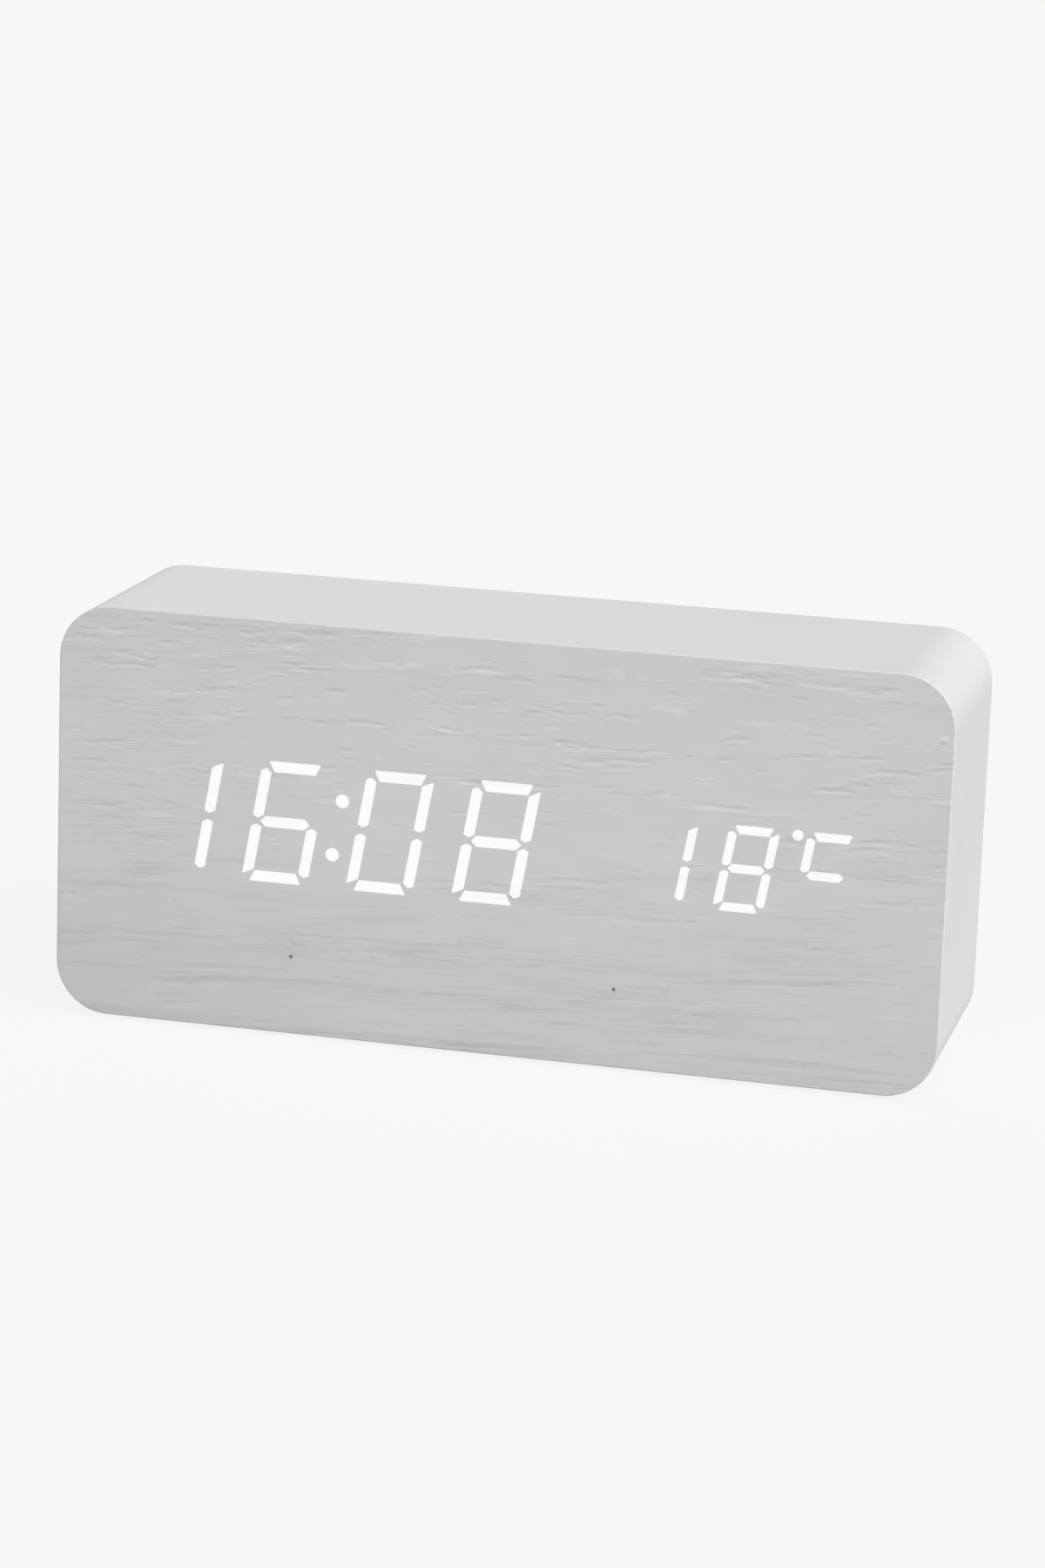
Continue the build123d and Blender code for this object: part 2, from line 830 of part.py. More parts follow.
def switch_stem(place):
    """Round stem that stands in a switch housing."""
    with BuildPart() as stem:
        with BuildSketch(level(stem_foot_y)):
            with Locations(place):
                Circle(switch_stem_radius)
        extrude(amount=stem_foot_y - stem_top_y)
    return stem.part


def push_button(place, mark):
    """Marked cap with a flange that keeps it in the cover and a post that meets the switch stem."""
    with BuildPart() as button:
        with BuildSketch(level(button_flange_y)):
            with Locations(place):
                Circle(button_radius)
        extrude(amount=button_flange_y - cover_outer_y - button_proud)
        fillet(button.faces().sort_by(Axis.Y)[-1].edges(), button_dome)
        # Sunk mark: a ring for setting, arrowheads for up and down
        with BuildSketch(level(cover_outer_y + button_proud)):
            with Locations(place):
                if mark == "ring":
                    Circle(button_mark_radius)
                    Circle(button_mark_radius - button_mark_stroke, mode=Mode.SUBTRACT)
                else:
                    RegularPolygon(button_mark_radius, 3, rotation=90 if mark == "up" else -90)
        extrude(amount=button_mark_depth, mode=Mode.SUBTRACT)
        with BuildSketch(level(button_flange_y)):
            with Locations(place):
                Circle(button_flange_radius)
        extrude(amount=button_flange_thickness)
        with BuildSketch(level(button_flange_y)):
            with Locations(place):
                Circle(button_post_radius)
        extrude(amount=button_flange_y - stem_top_y)
    return button.part


# Inlet for a power lead: a square body on the board, a collar in the cover, and a pin inside the bore
with BuildPart() as power_socket:
    with BuildSketch(level(control_face_y)):
        with Locations(socket_place):
            Rectangle(socket_size, socket_size)
    extrude(amount=control_face_y - ledge_y)
    with BuildSketch(level(ledge_y)):
        with Locations(socket_place):
            Circle(socket_collar_radius)
    extrude(amount=ledge_y - cover_outer_y)
    with BuildSketch(level(cover_outer_y)):
        with Locations(socket_place):
            Circle(socket_bore_radius)
    extrude(amount=socket_bore_depth, mode=Mode.SUBTRACT)

with BuildPart() as power_socket_pin:
    with BuildSketch(level(cover_outer_y - socket_bore_depth)):
        with Locations(socket_place):
            Circle(socket_pin_radius)
    extrude(amount=socket_pin_recess - socket_bore_depth)
    fillet(power_socket_pin.faces().sort_by(Axis.Y)[-1].edges(), socket_pin_radius / 2)

with BuildPart() as buzzer:
    with BuildSketch(level(control_face_y)):
        with Locations(buzzer_place):
            Circle(buzzer_radius)
    extrude(amount=-buzzer_height)
    with BuildSketch(level(control_face_y + buzzer_height)):
        with Locations(buzzer_place):
            Circle(buzzer_port_radius)
    extrude(amount=buzzer_port_depth, mode=Mode.SUBTRACT)

# Temperature bead on two legs, behind the vents of the cover
with BuildPart() as temperature_sensor:
    with BuildSketch(level(control_face_y)):
        with Locations(sensor_place):
            with GridLocations(2 * sensor_leg_offset, 0, 2, 1):
                Circle(sensor_leg_radius)
    extrude(amount=-sensor_leg_length)
    with Locations((sensor_place[0], control_face_y + sensor_leg_length, sensor_place[1])):
        Sphere(sensor_bead_radius)

# Rear cover: a plate in the rebate, with posts, bosses, wells and ears on its inner side
door_gap_width = door_width + 2 * door_clearance
door_gap_height = door_height + 2 * door_clearance
door_place = (tray_x, door_top_z - door_height / 2)
with BuildPart() as rear_cover:
    with BuildSketch(level(ledge_y)):
        with Locations((0, mid_z)):
            RectangleRounded(
                rebate_width - 2 * cover_clearance,
                rebate_height - 2 * cover_clearance,
                rebate_radius - cover_clearance,
            )
    extrude(amount=-cover_thickness)
    fillet(rear_cover.faces().sort_by(Axis.Y)[-1].edges(), cover_edge_radius)
    with BuildSketch(level(ledge_y)):
        with Locations(*post_places):
            Circle(post_radius)
    extrude(amount=post_length)
    with BuildSketch(level(ledge_y)):
        with Locations(*lug_places):
            Circle(boss_radius)
    extrude(amount=boss_height)
    with BuildSketch(level(ledge_y)):
        with Locations(*button_places.values()):
            Circle(button_flange_radius + button_clearance + button_well_wall)
            Circle(button_flange_radius + button_clearance, mode=Mode.SUBTRACT)
    extrude(amount=button_well_depth)
    with BuildSketch(level(ledge_y)):
        for side in (-1, 1):
            with Locations((tray_x + side * (door_gap_width + door_ear_width) / 2, door_axis_z)):
                Rectangle(door_ear_width, 2 * door_ear_half_height)
    extrude(amount=door_ear_depth)
    # Openings for the door, the buttons, the inlet, the sound and the air
    with BuildSketch(level(ledge_y)):
        with Locations(door_place):
            Rectangle(door_gap_width, door_gap_height)
        with Locations(*button_places.values()):
            Circle(button_radius + button_clearance)
        with Locations(socket_place):
            Circle(socket_collar_radius + socket_clearance)
        with Locations(buzzer_place):
            Circle(sound_hole_radius)
            with PolarLocations(sound_ring_radius, sound_hole_count):
                Circle(sound_hole_radius)
        with Locations(sensor_place):
            vent_pitch = vent_width + vent_bar
            with GridLocations(0, vent_pitch, 1, vent_count):
                SlotOverall(vent_length, vent_width)
    extrude(amount=-cover_thickness, mode=Mode.SUBTRACT)
    # Finger scoop below the door
    with Locations((tray_x, cover_outer_y + scoop_radius - scoop_depth, door_bottom_z - door_clearance)):
        Sphere(scoop_radius, mode=Mode.SUBTRACT)
    # Bores for the pins of the door
    with BuildSketch(Plane.YZ.offset(tray_x)):
        with Locations((door_axis_y, door_axis_z)):
            Circle(door_pin_radius + door_pin_clearance)
    extrude(amount=door_width / 2 + door_pin_length + door_clearance, both=True, mode=Mode.SUBTRACT)
    # Pilot holes of the posts and bosses, and sunk holes for the cover's own screws
    with BuildSketch(level(control_face_y)):
        with Locations(*post_places):
            Circle(screw_radius + pilot_clearance)
    extrude(amount=-post_bite - pilot_clearance, mode=Mode.SUBTRACT)
    with BuildSketch(level(lug_face_y)):
        with Locations(*lug_places):
            Circle(screw_radius + pilot_clearance)
    extrude(amount=-tray_screw_bite - pilot_clearance, mode=Mode.SUBTRACT)
    with Locations(Plane(origin=(0, cover_outer_y, mid_z), x_dir=(-1, 0, 0), z_dir=(0, 1, 0))):
        with GridLocations(cover_screw_spacing_x, cover_screw_spacing_z, 2, 2):
            CounterBoreHole(
                cover_screw_radius + screw_clearance,
                cover_screw_head_radius + screw_clearance,
                cover_screw_head_height + cover_head_sink,
            )

cover_seat_y = cover_outer_y - cover_screw_head_height - cover_head_sink
cover_screws = pan_screws(
    cover_screw_places,
    cover_seat_y,
    1,
    cover_seat_y - ledge_y + cover_screw_bite,
    cover_screw_radius,
    cover_screw_head_radius,
    cover_screw_head_height,
)

# End contacts: the lowest cell ends the chain on the left, the highest on the right
end_tabs = [(bay_left_x, row_heights[0], -1), (bay_right_x, row_heights[-1], 1)]

# Battery tray: an open box with cradles for the cells and lugs that screw to the cover
with BuildPart() as battery_tray:
    with BuildSketch(level(ledge_y)):
        with Locations((tray_x, tray_z)):
            Rectangle(tray_length, tray_height)
    extrude(amount=ledge_y - tray_back_y)
    with BuildSketch(level(ledge_y)):
        with Locations((tray_x, tray_z)):
            Rectangle(bay_length, bay_height)
    extrude(amount=ledge_y - bay_floor_y, mode=Mode.SUBTRACT)
    with BuildSketch(level(bay_floor_y)):
        with Locations((tray_x, tray_z)):
            with GridLocations(2 * cradle_offset, 0, 2, 1):
                Rectangle(cradle_thickness, bay_height)
    extrude(amount=-cradle_height)
    with BuildSketch(Plane.YZ.offset(bay_left_x)):
        for row_z in row_heights:
            with Locations((cell_y, row_z)):
                Circle(cell_radius + cell_clearance)
    extrude(amount=bay_length, mode=Mode.SUBTRACT)
    with BuildSketch(level(lug_face_y)):
        with Locations(*lug_places):
            Rectangle(lug_length, lug_height)
        with Locations(*lug_places):
            Circle(screw_radius + screw_clearance, mode=Mode.SUBTRACT)
    extrude(amount=lug_thickness)
    # Slots where the two end contacts come out
    for wall_x, row_z, outward in end_tabs:
        with BuildSketch(Plane.YZ.offset(wall_x)):
            with Locations((lead_y, row_z)):
                Rectangle(tab_thickness + 2 * tab_clearance, tab_width + 2 * tab_clearance)
        extrude(amount=outward * tray_wall, mode=Mode.SUBTRACT)

tray_screws = pan_screws(
    lug_places,
    lug_face_y - lug_thickness,
    -1,
    lug_thickness + tray_screw_bite,
    screw_radius,
    screw_head_radius,
    screw_head_height,
)

# Contact plates: a tall one joins two cells at each end, a short one with a tab takes a lead
pair_height = cell_pitch + contact_height
with BuildPart() as battery_contacts:
    for wall_x, row_z, outward in end_tabs:
        with BuildSketch(Plane.YZ.offset(wall_x)):
            with Locations((cell_y, row_z)):
                Rectangle(contact_width, contact_height)
            with Locations((cell_y, tray_z - outward * cell_pitch / 2)):
                Rectangle(contact_width, pair_height)
        extrude(amount=-outward * contact_thickness)
        with BuildSketch(Plane.YZ.offset(wall_x)):
            with Locations((lead_y, row_z)):
                Rectangle(tab_thickness, tab_width)
        extrude(amount=outward * (tray_wall + tab_reach))

# Cells point to opposite ends in turn; the flat end of each is held by a bowed leaf
cell_points_left = [row % 2 == 0 for row in range(cell_count)]
with BuildPart() as battery_leaf_springs:
    for row_z, points_left in zip(row_heights, cell_points_left):
        plate_x = bay_right_x - contact_thickness if points_left else bay_left_x + contact_thickness
        bow = -leaf_bow if points_left else leaf_bow
        foot = math.copysign(leaf_thickness / 2, bow)
        with BuildSketch(Plane.XY.offset(row_z)):
            with BuildLine() as leaf_line:
                ThreePointArc(
                    (plate_x + foot, cell_y - leaf_chord / 2),
                    (plate_x + bow, cell_y),
                    (plate_x + foot, cell_y + leaf_chord / 2),
                )
            trace(leaf_line.line, leaf_thickness)
        extrude(amount=leaf_width / 2, both=True)

with BuildPart() as battery_cells:
    for row_z, points_left in zip(row_heights, cell_points_left):
        nub_x = bay_left_x + contact_thickness if points_left else bay_right_x - contact_thickness
        facing = 1 if points_left else -1
        with BuildSketch(Plane.YZ.offset(nub_x)):
            with Locations((cell_y, row_z)):
                Circle(cell_nub_radius)
        extrude(amount=facing * cell_nub_length)
        with BuildSketch(Plane.YZ.offset(nub_x + facing * cell_nub_length)):
            with Locations((cell_y, row_z)):
                Circle(cell_radius)
        extrude(amount=facing * (cell_length - cell_nub_length))
    rims = battery_cells.edges().filter_by(GeomType.CIRCLE)
    fillet(rims.filter_by(lambda rim: rim.radius > cell_nub_radius + cell_edge), cell_edge)


def battery_lead(points):
    """Insulated wire from the tab of an end contact to its pad on the control board."""
    with BuildPart() as lead:
        with BuildLine(level(lead_y)) as route:
            FilletPolyline(*points, radius=lead_bend)
        with BuildSketch(Plane(origin=route.line @ 0, z_dir=route.line % 0)):
            Circle(lead_radius)
        sweep()
    return lead.part


# The wire of the far contact goes over the top of the tray and down beside it
tab_length = tray_wall + tab_reach
left_tab_x = bay_left_x - tab_length
right_tab_x = bay_right_x + tab_length
beside_tray_x = tray_left_x - lead_radius - lead_wall_gap
over_tray_z = tray_top_z + lead_over
positive_pad_z = mid_z - positive_pad_drop
negative_pad_z = mid_z + negative_pad_rise
positive_route = [
    (left_tab_x, row_heights[0]),
    (left_tab_x - lead_run, row_heights[0]),
    (left_tab_x - lead_run, positive_pad_z),
    (lead_pad_x, positive_pad_z),
]
negative_route = [
    (right_tab_x, row_heights[-1]),
    (right_tab_x + lead_run, row_heights[-1]),
    (right_tab_x + lead_run, over_tray_z),
    (beside_tray_x, over_tray_z),
    (beside_tray_x, negative_pad_z),
    (lead_pad_x, negative_pad_z),
]

# Door of the battery bay: a plate with a barrel along its head, pins at both ends and a tongue at its foot
with BuildPart() as battery_door:
    with BuildSketch(level(cover_outer_y)):
        with Locations((tray_x, (door_axis_z + door_bottom_z) / 2)):
            Rectangle(door_width, door_axis_z - door_bottom_z)
    extrude(amount=door_thickness)
    with BuildSketch(Plane.YZ.offset(tray_x)):
        with Locations((door_axis_y, door_axis_z)):
            Circle(barrel_radius)
    extrude(amount=door_width / 2, both=True)
    with BuildSketch(Plane.YZ.offset(tray_x)):
        with Locations((door_axis_y, door_axis_z)):
            Circle(door_pin_radius)
    extrude(amount=door_width / 2 + door_pin_length, both=True)
    fillet(battery_door.edges().filter_by(Axis.Y).group_by(Axis.Z)[0], door_corner)
    with BuildSketch(level(door_inner_y)):
        with Locations((tray_x, tray_z)):
            with GridLocations(0, cell_pitch, 1, cell_count - 1):
                Rectangle(door_rib_length, door_rib_width)
    extrude(amount=door_rib_height)
    with BuildSketch(level(cover_outer_y)):
        for side in (-1, 1):
            with Locations((tray_x + side * door_tongue_width / 2, door_bottom_z + door_tongue_height / 2)):
                Rectangle(door_slot_width, door_tongue_height)
    extrude(amount=door_thickness, mode=Mode.SUBTRACT)
    with BuildSketch(level(cover_outer_y)):
        with Locations((tray_x, door_bottom_z + door_tongue_height / 2)):
            ridge_pitch = door_ridge_width + door_ridge_gap
            with GridLocations(0, ridge_pitch, 1, door_ridge_count):
                SlotOverall(door_ridge_length, door_ridge_width)
    extrude(amount=-door_ridge_height)

# Pads under the case
with BuildPart() as foot_pads:
    with BuildSketch():
        with GridLocations(case_width - 2 * pad_inset_x, case_depth - 2 * pad_inset_y, 2, 2):
            Circle(pad_radius)
    extrude(amount=pad_thickness)

pieces = {
    "case_shell": case_shell.part,
    "side_wrap": side_wrap.part,
    "front_veneer": front_veneer.part,
    "lit_time_digits": lit_time_digits.part,
    "lit_colon": lit_colon.part,
    "lit_temperature": lit_temperature.part,
    "segment_shield": segment_shield.part,
    "time_segment_guides": time_segment_guides.part,
    "temperature_segment_guides": temperature_segment_guides.part,
    "segment_leds": segment_leds.part,
    "display_board": display_board.part,
    "display_screws": display_screws,
    "microphone": microphone.part,
    "light_sensor": light_sensor.part,
    "driver_chip": driver_chip.part,
    "clock_crystal": clock_crystal.part,
    "chip_resistors": chip_resistors.part,
    "display_connector": display_connector.part,
    "control_connector": control_connector.part,
    "link_cable": link_cable.part,
    "control_board": control_board.part,
    "control_screws": control_screws,
    "switch_housings": switch_housings.part,
    "power_socket": power_socket.part,
    "power_socket_pin": power_socket_pin.part,
    "buzzer": buzzer.part,
    "temperature_sensor": temperature_sensor.part,
    "rear_cover": rear_cover.part,
    "cover_screws": cover_screws,
    "battery_tray": battery_tray.part,
    "tray_screws": tray_screws,
    "battery_contacts": battery_contacts.part,
    "battery_leaf_springs": battery_leaf_springs.part,
    "battery_cells": battery_cells.part,
    "negative_lead": battery_lead(negative_route),
    "positive_lead": battery_lead(positive_route),
    "battery_door": battery_door.part,
    "foot_pads": foot_pads.part,
}
button_marks = {"set": "ring", "up": "up", "down": "down"}
for name, place in button_places.items():
    pieces[f"{name}_button"] = push_button(place, button_marks[name])
    pieces[f"{name}_switch_stem"] = switch_stem(place)

os.makedirs("parts", exist_ok=True)
for name, piece in pieces.items():
    piece.label = name
    export_step(piece, f"parts/{name}.step")
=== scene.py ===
"""Dresses a white box clock: grained front sheet, side film, shining digits, plastics, boards, cells, studio.

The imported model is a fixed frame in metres, +Z up, with the front towards -Y. Every finish is made of nodes.
"""

import math
from functools import cached_property

import bpy
from bpy.props import FloatProperty, FloatVectorProperty, PointerProperty
from bpy.types import Operator, Panel, PropertyGroup
from mathutils import Matrix, Vector


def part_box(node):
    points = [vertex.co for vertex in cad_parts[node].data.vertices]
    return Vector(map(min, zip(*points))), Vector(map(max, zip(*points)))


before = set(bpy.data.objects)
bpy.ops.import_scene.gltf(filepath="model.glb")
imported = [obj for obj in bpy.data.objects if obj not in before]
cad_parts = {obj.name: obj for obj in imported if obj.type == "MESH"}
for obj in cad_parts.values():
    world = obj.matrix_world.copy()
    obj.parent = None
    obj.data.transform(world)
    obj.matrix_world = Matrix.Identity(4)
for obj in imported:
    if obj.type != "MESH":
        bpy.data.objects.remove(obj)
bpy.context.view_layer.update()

bl_info = {
    "name": "Light-digit desk clock",
    "version": (1, 0, 0),
    "blender": (4, 5, 0),
    "location": "3D View > Sidebar > Clock",
    "description": "Gives a packed desk clock its grained sheet, films, plastics, cells and studio",
    "category": "Object",
}

MM = 0.001
MICRON = 0.000001
PHOTO_HEIGHT_PX = 1800
SENSOR_MM = 36.0

WHITE = (1.0, 1.0, 1.0)
UNLIT_DIM = (0.10, 0.10, 0.10)
UNLIT_PALE = (0.14, 0.14, 0.14)
SHIELD_WHITE = (0.78, 0.78, 0.77)
MILKY_RESIN = (0.84, 0.84, 0.80)
LAMP_WHITE = (0.82, 0.82, 0.80)
LAMP_YELLOW = (0.85, 0.68, 0.12)
DARK_RESIN = (0.018, 0.018, 0.02)
NATURAL_NYLON = (0.74, 0.70, 0.58)
SWITCH_BLACK = (0.02, 0.02, 0.02)
SOCKET_BLACK = (0.016, 0.016, 0.017)
PAD_GREY = (0.10, 0.10, 0.10)
RIBBON_DIM = (0.23, 0.235, 0.24)
RIBBON_PALE = (0.30, 0.305, 0.31)
RIBBON_RED = (0.45, 0.03, 0.02)
WIRE_RED = (0.45, 0.02, 0.015)
WIRE_BLACK = (0.015, 0.015, 0.015)
MARK_WHITE = (0.72, 0.72, 0.72)
CELL_PRINT = (0.62, 0.63, 0.64)
CELL_STEEL = (0.68, 0.67, 0.64)
DRAWN_CAN = (0.72, 0.72, 0.73)
PLATED_PIN = (0.78, 0.74, 0.64)
NICKEL = (0.72, 0.69, 0.63)
ZINC = (0.58, 0.58, 0.58)
ZINC_DIM = (0.42, 0.42, 0.43)
ZINC_PALE = (0.62, 0.62, 0.61)
FLOOR_GREY = (0.5, 0.5, 0.5)


def mm(*values):
    """Millimetres as metres."""
    return tuple(value * MM for value in values)


# Marks on the front sheet: x, z, half length and half height
LEFT_SPECK = mm(-24.8, 14.6, 1.3, 0.9)
RIGHT_SPECK = mm(29.7, 14.8, 1.1, 0.9)
PALE_CHIP = mm(73.2, 60.8, 1.0, 0.5)
DARK_CHIP = mm(73.1, 60.1, 0.8, 0.4)


class Signal:
    """One output of a node. Sums and products of signals add Math nodes to its tree."""

    def __init__(self, graph, socket):
        self.graph = graph
        self.socket = socket

    def math(self, operation, *others):
        """Result of a Math node whose first value is this signal."""
        return self.graph.node("ShaderNodeMath", {"operation": operation}, dict(enumerate((self, *others))))

    def __add__(self, other):
        return self.math("ADD", other)

    __radd__ = __add__

    def __sub__(self, other):
        return self.math("SUBTRACT", other)

    def __rsub__(self, other):
        return self.math("MULTIPLY_ADD", -1.0, other)

    def __neg__(self):
        return self.math("MULTIPLY", -1.0)

    def __mul__(self, other):
        return self.math("MULTIPLY", other)

    __rmul__ = __mul__

    def __truediv__(self, other):
        return self.math("DIVIDE", other)

    def __abs__(self):
        return self.math("ABSOLUTE")

    def larger(self, other):
        """The larger of this signal and another."""
        return self.math("MAXIMUM", other)


class Graph:
    """A node tree that is filled by calls of one method."""

    def __init__(self, tree):
        self.tree = tree
        tree.nodes.clear()

    def node(self, kind, settings=None, sockets=None, output=0):
        """Adds a node: its settings are set first, then its sockets get values or links."""
        made = self.tree.nodes.new(kind)
        for name, value in (settings or {}).items():
            setattr(made, name, value)
        for key, value in (sockets or {}).items():
            if isinstance(value, Signal):
                self.tree.links.new(value.socket, made.inputs[key])
            else:
                made.inputs[key].default_value = value
        return Signal(self, made.outputs[output]) if made.outputs else None

    def split(self, vector):
        """The three parts of a vector."""
        parts = self.node("ShaderNodeSeparateXYZ", sockets={0: vector})
        return [Signal(self, socket) for socket in parts.socket.node.outputs]

    @cached_property
    def place(self):
        """Where a point of the surface is on the resting clock, as x, y and z."""
        return self.split(self.node("ShaderNodeTexCoord", output="Object"))

    @cached_property
    def facing(self):
        """Which way the surface looks, as x, y and z."""
        return self.split(self.node("ShaderNodeTexCoord", output="Normal"))

    def noise(self, x, y, z, detail=2.0, roughness=0.5):
        """Soft noise, about 0.5 in the middle, whose grains are one unit across."""
        vector = self.node("ShaderNodeCombineXYZ", sockets={0: x, 1: y, 2: z})
        sockets = {"Vector": vector, "Scale": 1.0, "Detail": detail, "Roughness": roughness}
        return self.node("ShaderNodeTexNoise", sockets=sockets)

    def grains(self, size, detail=2.0, roughness=0.5):
        """Noise over the clock whose grains have three sizes, along x, y and z, or one for all."""
        length, depth, height = size if isinstance(size, tuple) else (size, size, size)
        x, y, z = self.place
        return self.noise(x / length, y / depth, z / height, detail, roughness)

    def rise(self, value, low, high):
        """Smooth step from 0 below low to 1 above high."""
        sockets = {"Value": value, "From Min": low, "From Max": high}
        return self.node("ShaderNodeMapRange", {"interpolation_type": "SMOOTHSTEP"}, sockets)

    def inside(self, value, middle, reach, edge):
        """1 where value lies within reach of middle, fading to 0 over edge."""
        return 1 - self.rise(abs(value - middle), reach - edge, reach)

    def spot(self, at_x, at_z, reach_x, reach_z):
        """1 in the middle of an upright oval, fading to 0 at its edge."""
        core = 0.2
        x, _, z = self.place
        from_x = (x - at_x) / reach_x
        from_z = (z - at_z) / reach_z
        return 1 - self.rise(from_x * from_x + from_z * from_z, core, 1.0)

    def tint(self, factor, first, second):
        """Colour from first to second as the factor goes from 0 to 1."""
        return self.node("ShaderNodeMix", {"data_type": "RGBA"}, {0: factor, 6: first, 7: second}, 2)

    def bump(self, height, relief):
        """Normal of a surface that stands relief metres higher where height is 1 than where it is 0."""
        return self.node("ShaderNodeBump", sockets={"Height": height, "Strength": 1.0, "Distance": relief})


class Finish(Graph):
    """A material with one surface shader."""

    def __init__(self, name):
        self.material = bpy.data.materials.new(name)
        self.material.use_nodes = True
        super().__init__(self.material.node_tree)

    def surface(self, sockets):
        """Ends the material with a Principled shader and hands it over."""
        shader = self.node("ShaderNodeBsdfPrincipled", sockets=sockets)
        self.node("ShaderNodeOutputMaterial", sockets={"Surface": shader})
        return self.material


def opaque(colour):
    """Colour with full alpha, as node sockets want it."""
    return (*colour, 1.0)


def shaded(colour, factor):
    """A darker or lighter relative of a colour."""
    return opaque([min(1.0, part * factor) for part in colour])


def paint(material, *nodes):
    """Gives CAD nodes a finish in place of the plain one."""
    for name in nodes:
        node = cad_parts[name]
        node.data.materials.clear()
        node.data.materials.append(material)


class ClockColours(PropertyGroup):
    """Colours that a user would change."""

    front: FloatVectorProperty(
        name="Front sheet",
        description="White-washed front sheet",
        subtype="COLOR",
        default=(0.684, 0.692, 0.688),
    )
    film: FloatVectorProperty(
        name="Side film",
        description="Film round the sides",
        subtype="COLOR",
        default=(0.660, 0.665, 0.661),
    )
    digits: FloatVectorProperty(
        name="Digits",
        description="Light of the digits",
        subtype="COLOR",
        default=WHITE,
    )
    fibreboard: FloatVectorProperty(
        name="Fibreboard",
        description="Routed edge of the case",
        subtype="COLOR",
        default=(0.36, 0.24, 0.14),
    )
    cover: FloatVectorProperty(
        name="Rear cover",
        description="Moulded cover, door and tray",
        subtype="COLOR",
        default=(0.56, 0.56, 0.55),
    )
    keys: FloatVectorProperty(
        name="Keys",
        description="Push buttons",
        subtype="COLOR",
        default=(0.15, 0.15, 0.155),
    )
    board: FloatVectorProperty(
        name="Boards",
        description="Solder resist",
        subtype="COLOR",
        default=(0.015, 0.11, 0.045),
    )
    jacket: FloatVectorProperty(
        name="Cells",
        description="Jacket of the cells",
        subtype="COLOR",
        default=(0.03, 0.06, 0.10),
    )


class ClockGrain(PropertyGroup):
    """Sizes of the grain of the front sheet."""

    pore_length: FloatProperty(
        name="Pore length",
        description="Length of a pore along the grain",
        unit="LENGTH",
        default=7.8 * MM,
    )
    pore_width: FloatProperty(
        name="Pore width",
        description="Width of a pore across the grain",
        unit="LENGTH",
        default=1.05 * MM,
    )
    streak_length: FloatProperty(
        name="Streak length",
        description="Length of a soft streak",
        unit="LENGTH",
        default=32 * MM,
    )
    streak_width: FloatProperty(
        name="Streak width",
        description="Width of a soft streak",
        unit="LENGTH",
        default=1.3 * MM,
    )
    band_length: FloatProperty(
        name="Band length",
        description="Length of a broad dark band",
        unit="LENGTH",
        default=40 * MM,
    )
    band_width: FloatProperty(
        name="Band width",
        description="Width of a broad dark band",
        unit="LENGTH",
        default=4 * MM,
    )
    ring_length: FloatProperty(
        name="Ring length",
        description="How far a ring runs before it bends",
        unit="LENGTH",
        default=45 * MM,
    )
    ring_width: FloatProperty(
        name="Ring width",
        description="Width of a group of rings",
        unit="LENGTH",
        default=15 * MM,
    )
    sway: FloatProperty(
        name="Sway",
        description="How far the grain wanders sideways",
        unit="LENGTH",
        default=3 * MM,
    )
    slope: FloatProperty(
        name="Slope",
        description="How steeply the grain climbs to the right",
        default=0.045,
    )
    relief: FloatProperty(
        name="Relief",
        description="Depth of the pores",
        unit="LENGTH",
        default=30 * MICRON,
    )


class ClockStudio(PropertyGroup):
    """Camera and light."""

    azimuth: FloatProperty(
        name="Azimuth",
        description="Camera's turn to the right",
        subtype="ANGLE",
        default=math.radians(13.468),
    )
    elevation: FloatProperty(
        name="Elevation",
        description="Camera's height angle",
        subtype="ANGLE",
        default=math.radians(13.467),
    )
    roll: FloatProperty(
        name="Roll",
        description="Camera's lean",
        subtype="ANGLE",
        default=math.radians(2.035),
    )
    distance: FloatProperty(
        name="Distance",
        description="From the camera to its aim",
        unit="LENGTH",
        default=0.757577,
    )
    focal_px: FloatProperty(
        name="Focal length",
        description="In pixels of the 1200 x 1800 frame",
        default=5197.11,
    )
    aim: FloatVectorProperty(
        name="Aim",
        description="Point in the middle of the picture",
        subtype="XYZ",
        unit="LENGTH",
        default=(-0.000111, 0.0, 0.042261),
    )
    background: FloatProperty(
        name="Background",
        description="Brightness of the backdrop in the picture",
        default=0.93,
    )
    air: FloatProperty(
        name="Air",
        description="Light from all round",
        default=0.18,
    )
    sun: FloatProperty(
        name="Sun",
        description="Strength of the soft lamp",
        default=3.5,
    )
    sun_from: FloatVectorProperty(
        name="Sun direction",
        description="Where the soft lamp shines from",
        subtype="DIRECTION",
        default=(0.600, -0.4455, 0.6645),
    )
    sun_spread: FloatProperty(
        name="Sun spread",
        description="How wide the soft lamp looks",
        subtype="ANGLE",
        default=math.radians(55),
    )
    fill: FloatProperty(
        name="Fill",
        description="Strength of the lamp behind",
        default=2.1,
    )
    fill_from: FloatVectorProperty(
        name="Fill direction",
        description="Where the lamp behind shines from",
        subtype="DIRECTION",
        default=(-0.35, 0.936, 0.02),
    )
    fill_spread: FloatProperty(
        name="Fill spread",
        description="How wide the lamp behind looks",
        subtype="ANGLE",
        default=math.radians(25),
    )


def middle_of(node):
    """Middle of a CAD node's box."""
    low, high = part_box(node)
    return (low + high) / 2


def sheet_shares(graph):
    """How far right and how far up a point of the front sheet lies, each from 0 to 1."""
    low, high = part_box("front_veneer")
    x, _, z = graph.place
    return (x - low.x) / (high.x - low.x), (z - low.z) / (high.z - low.z)


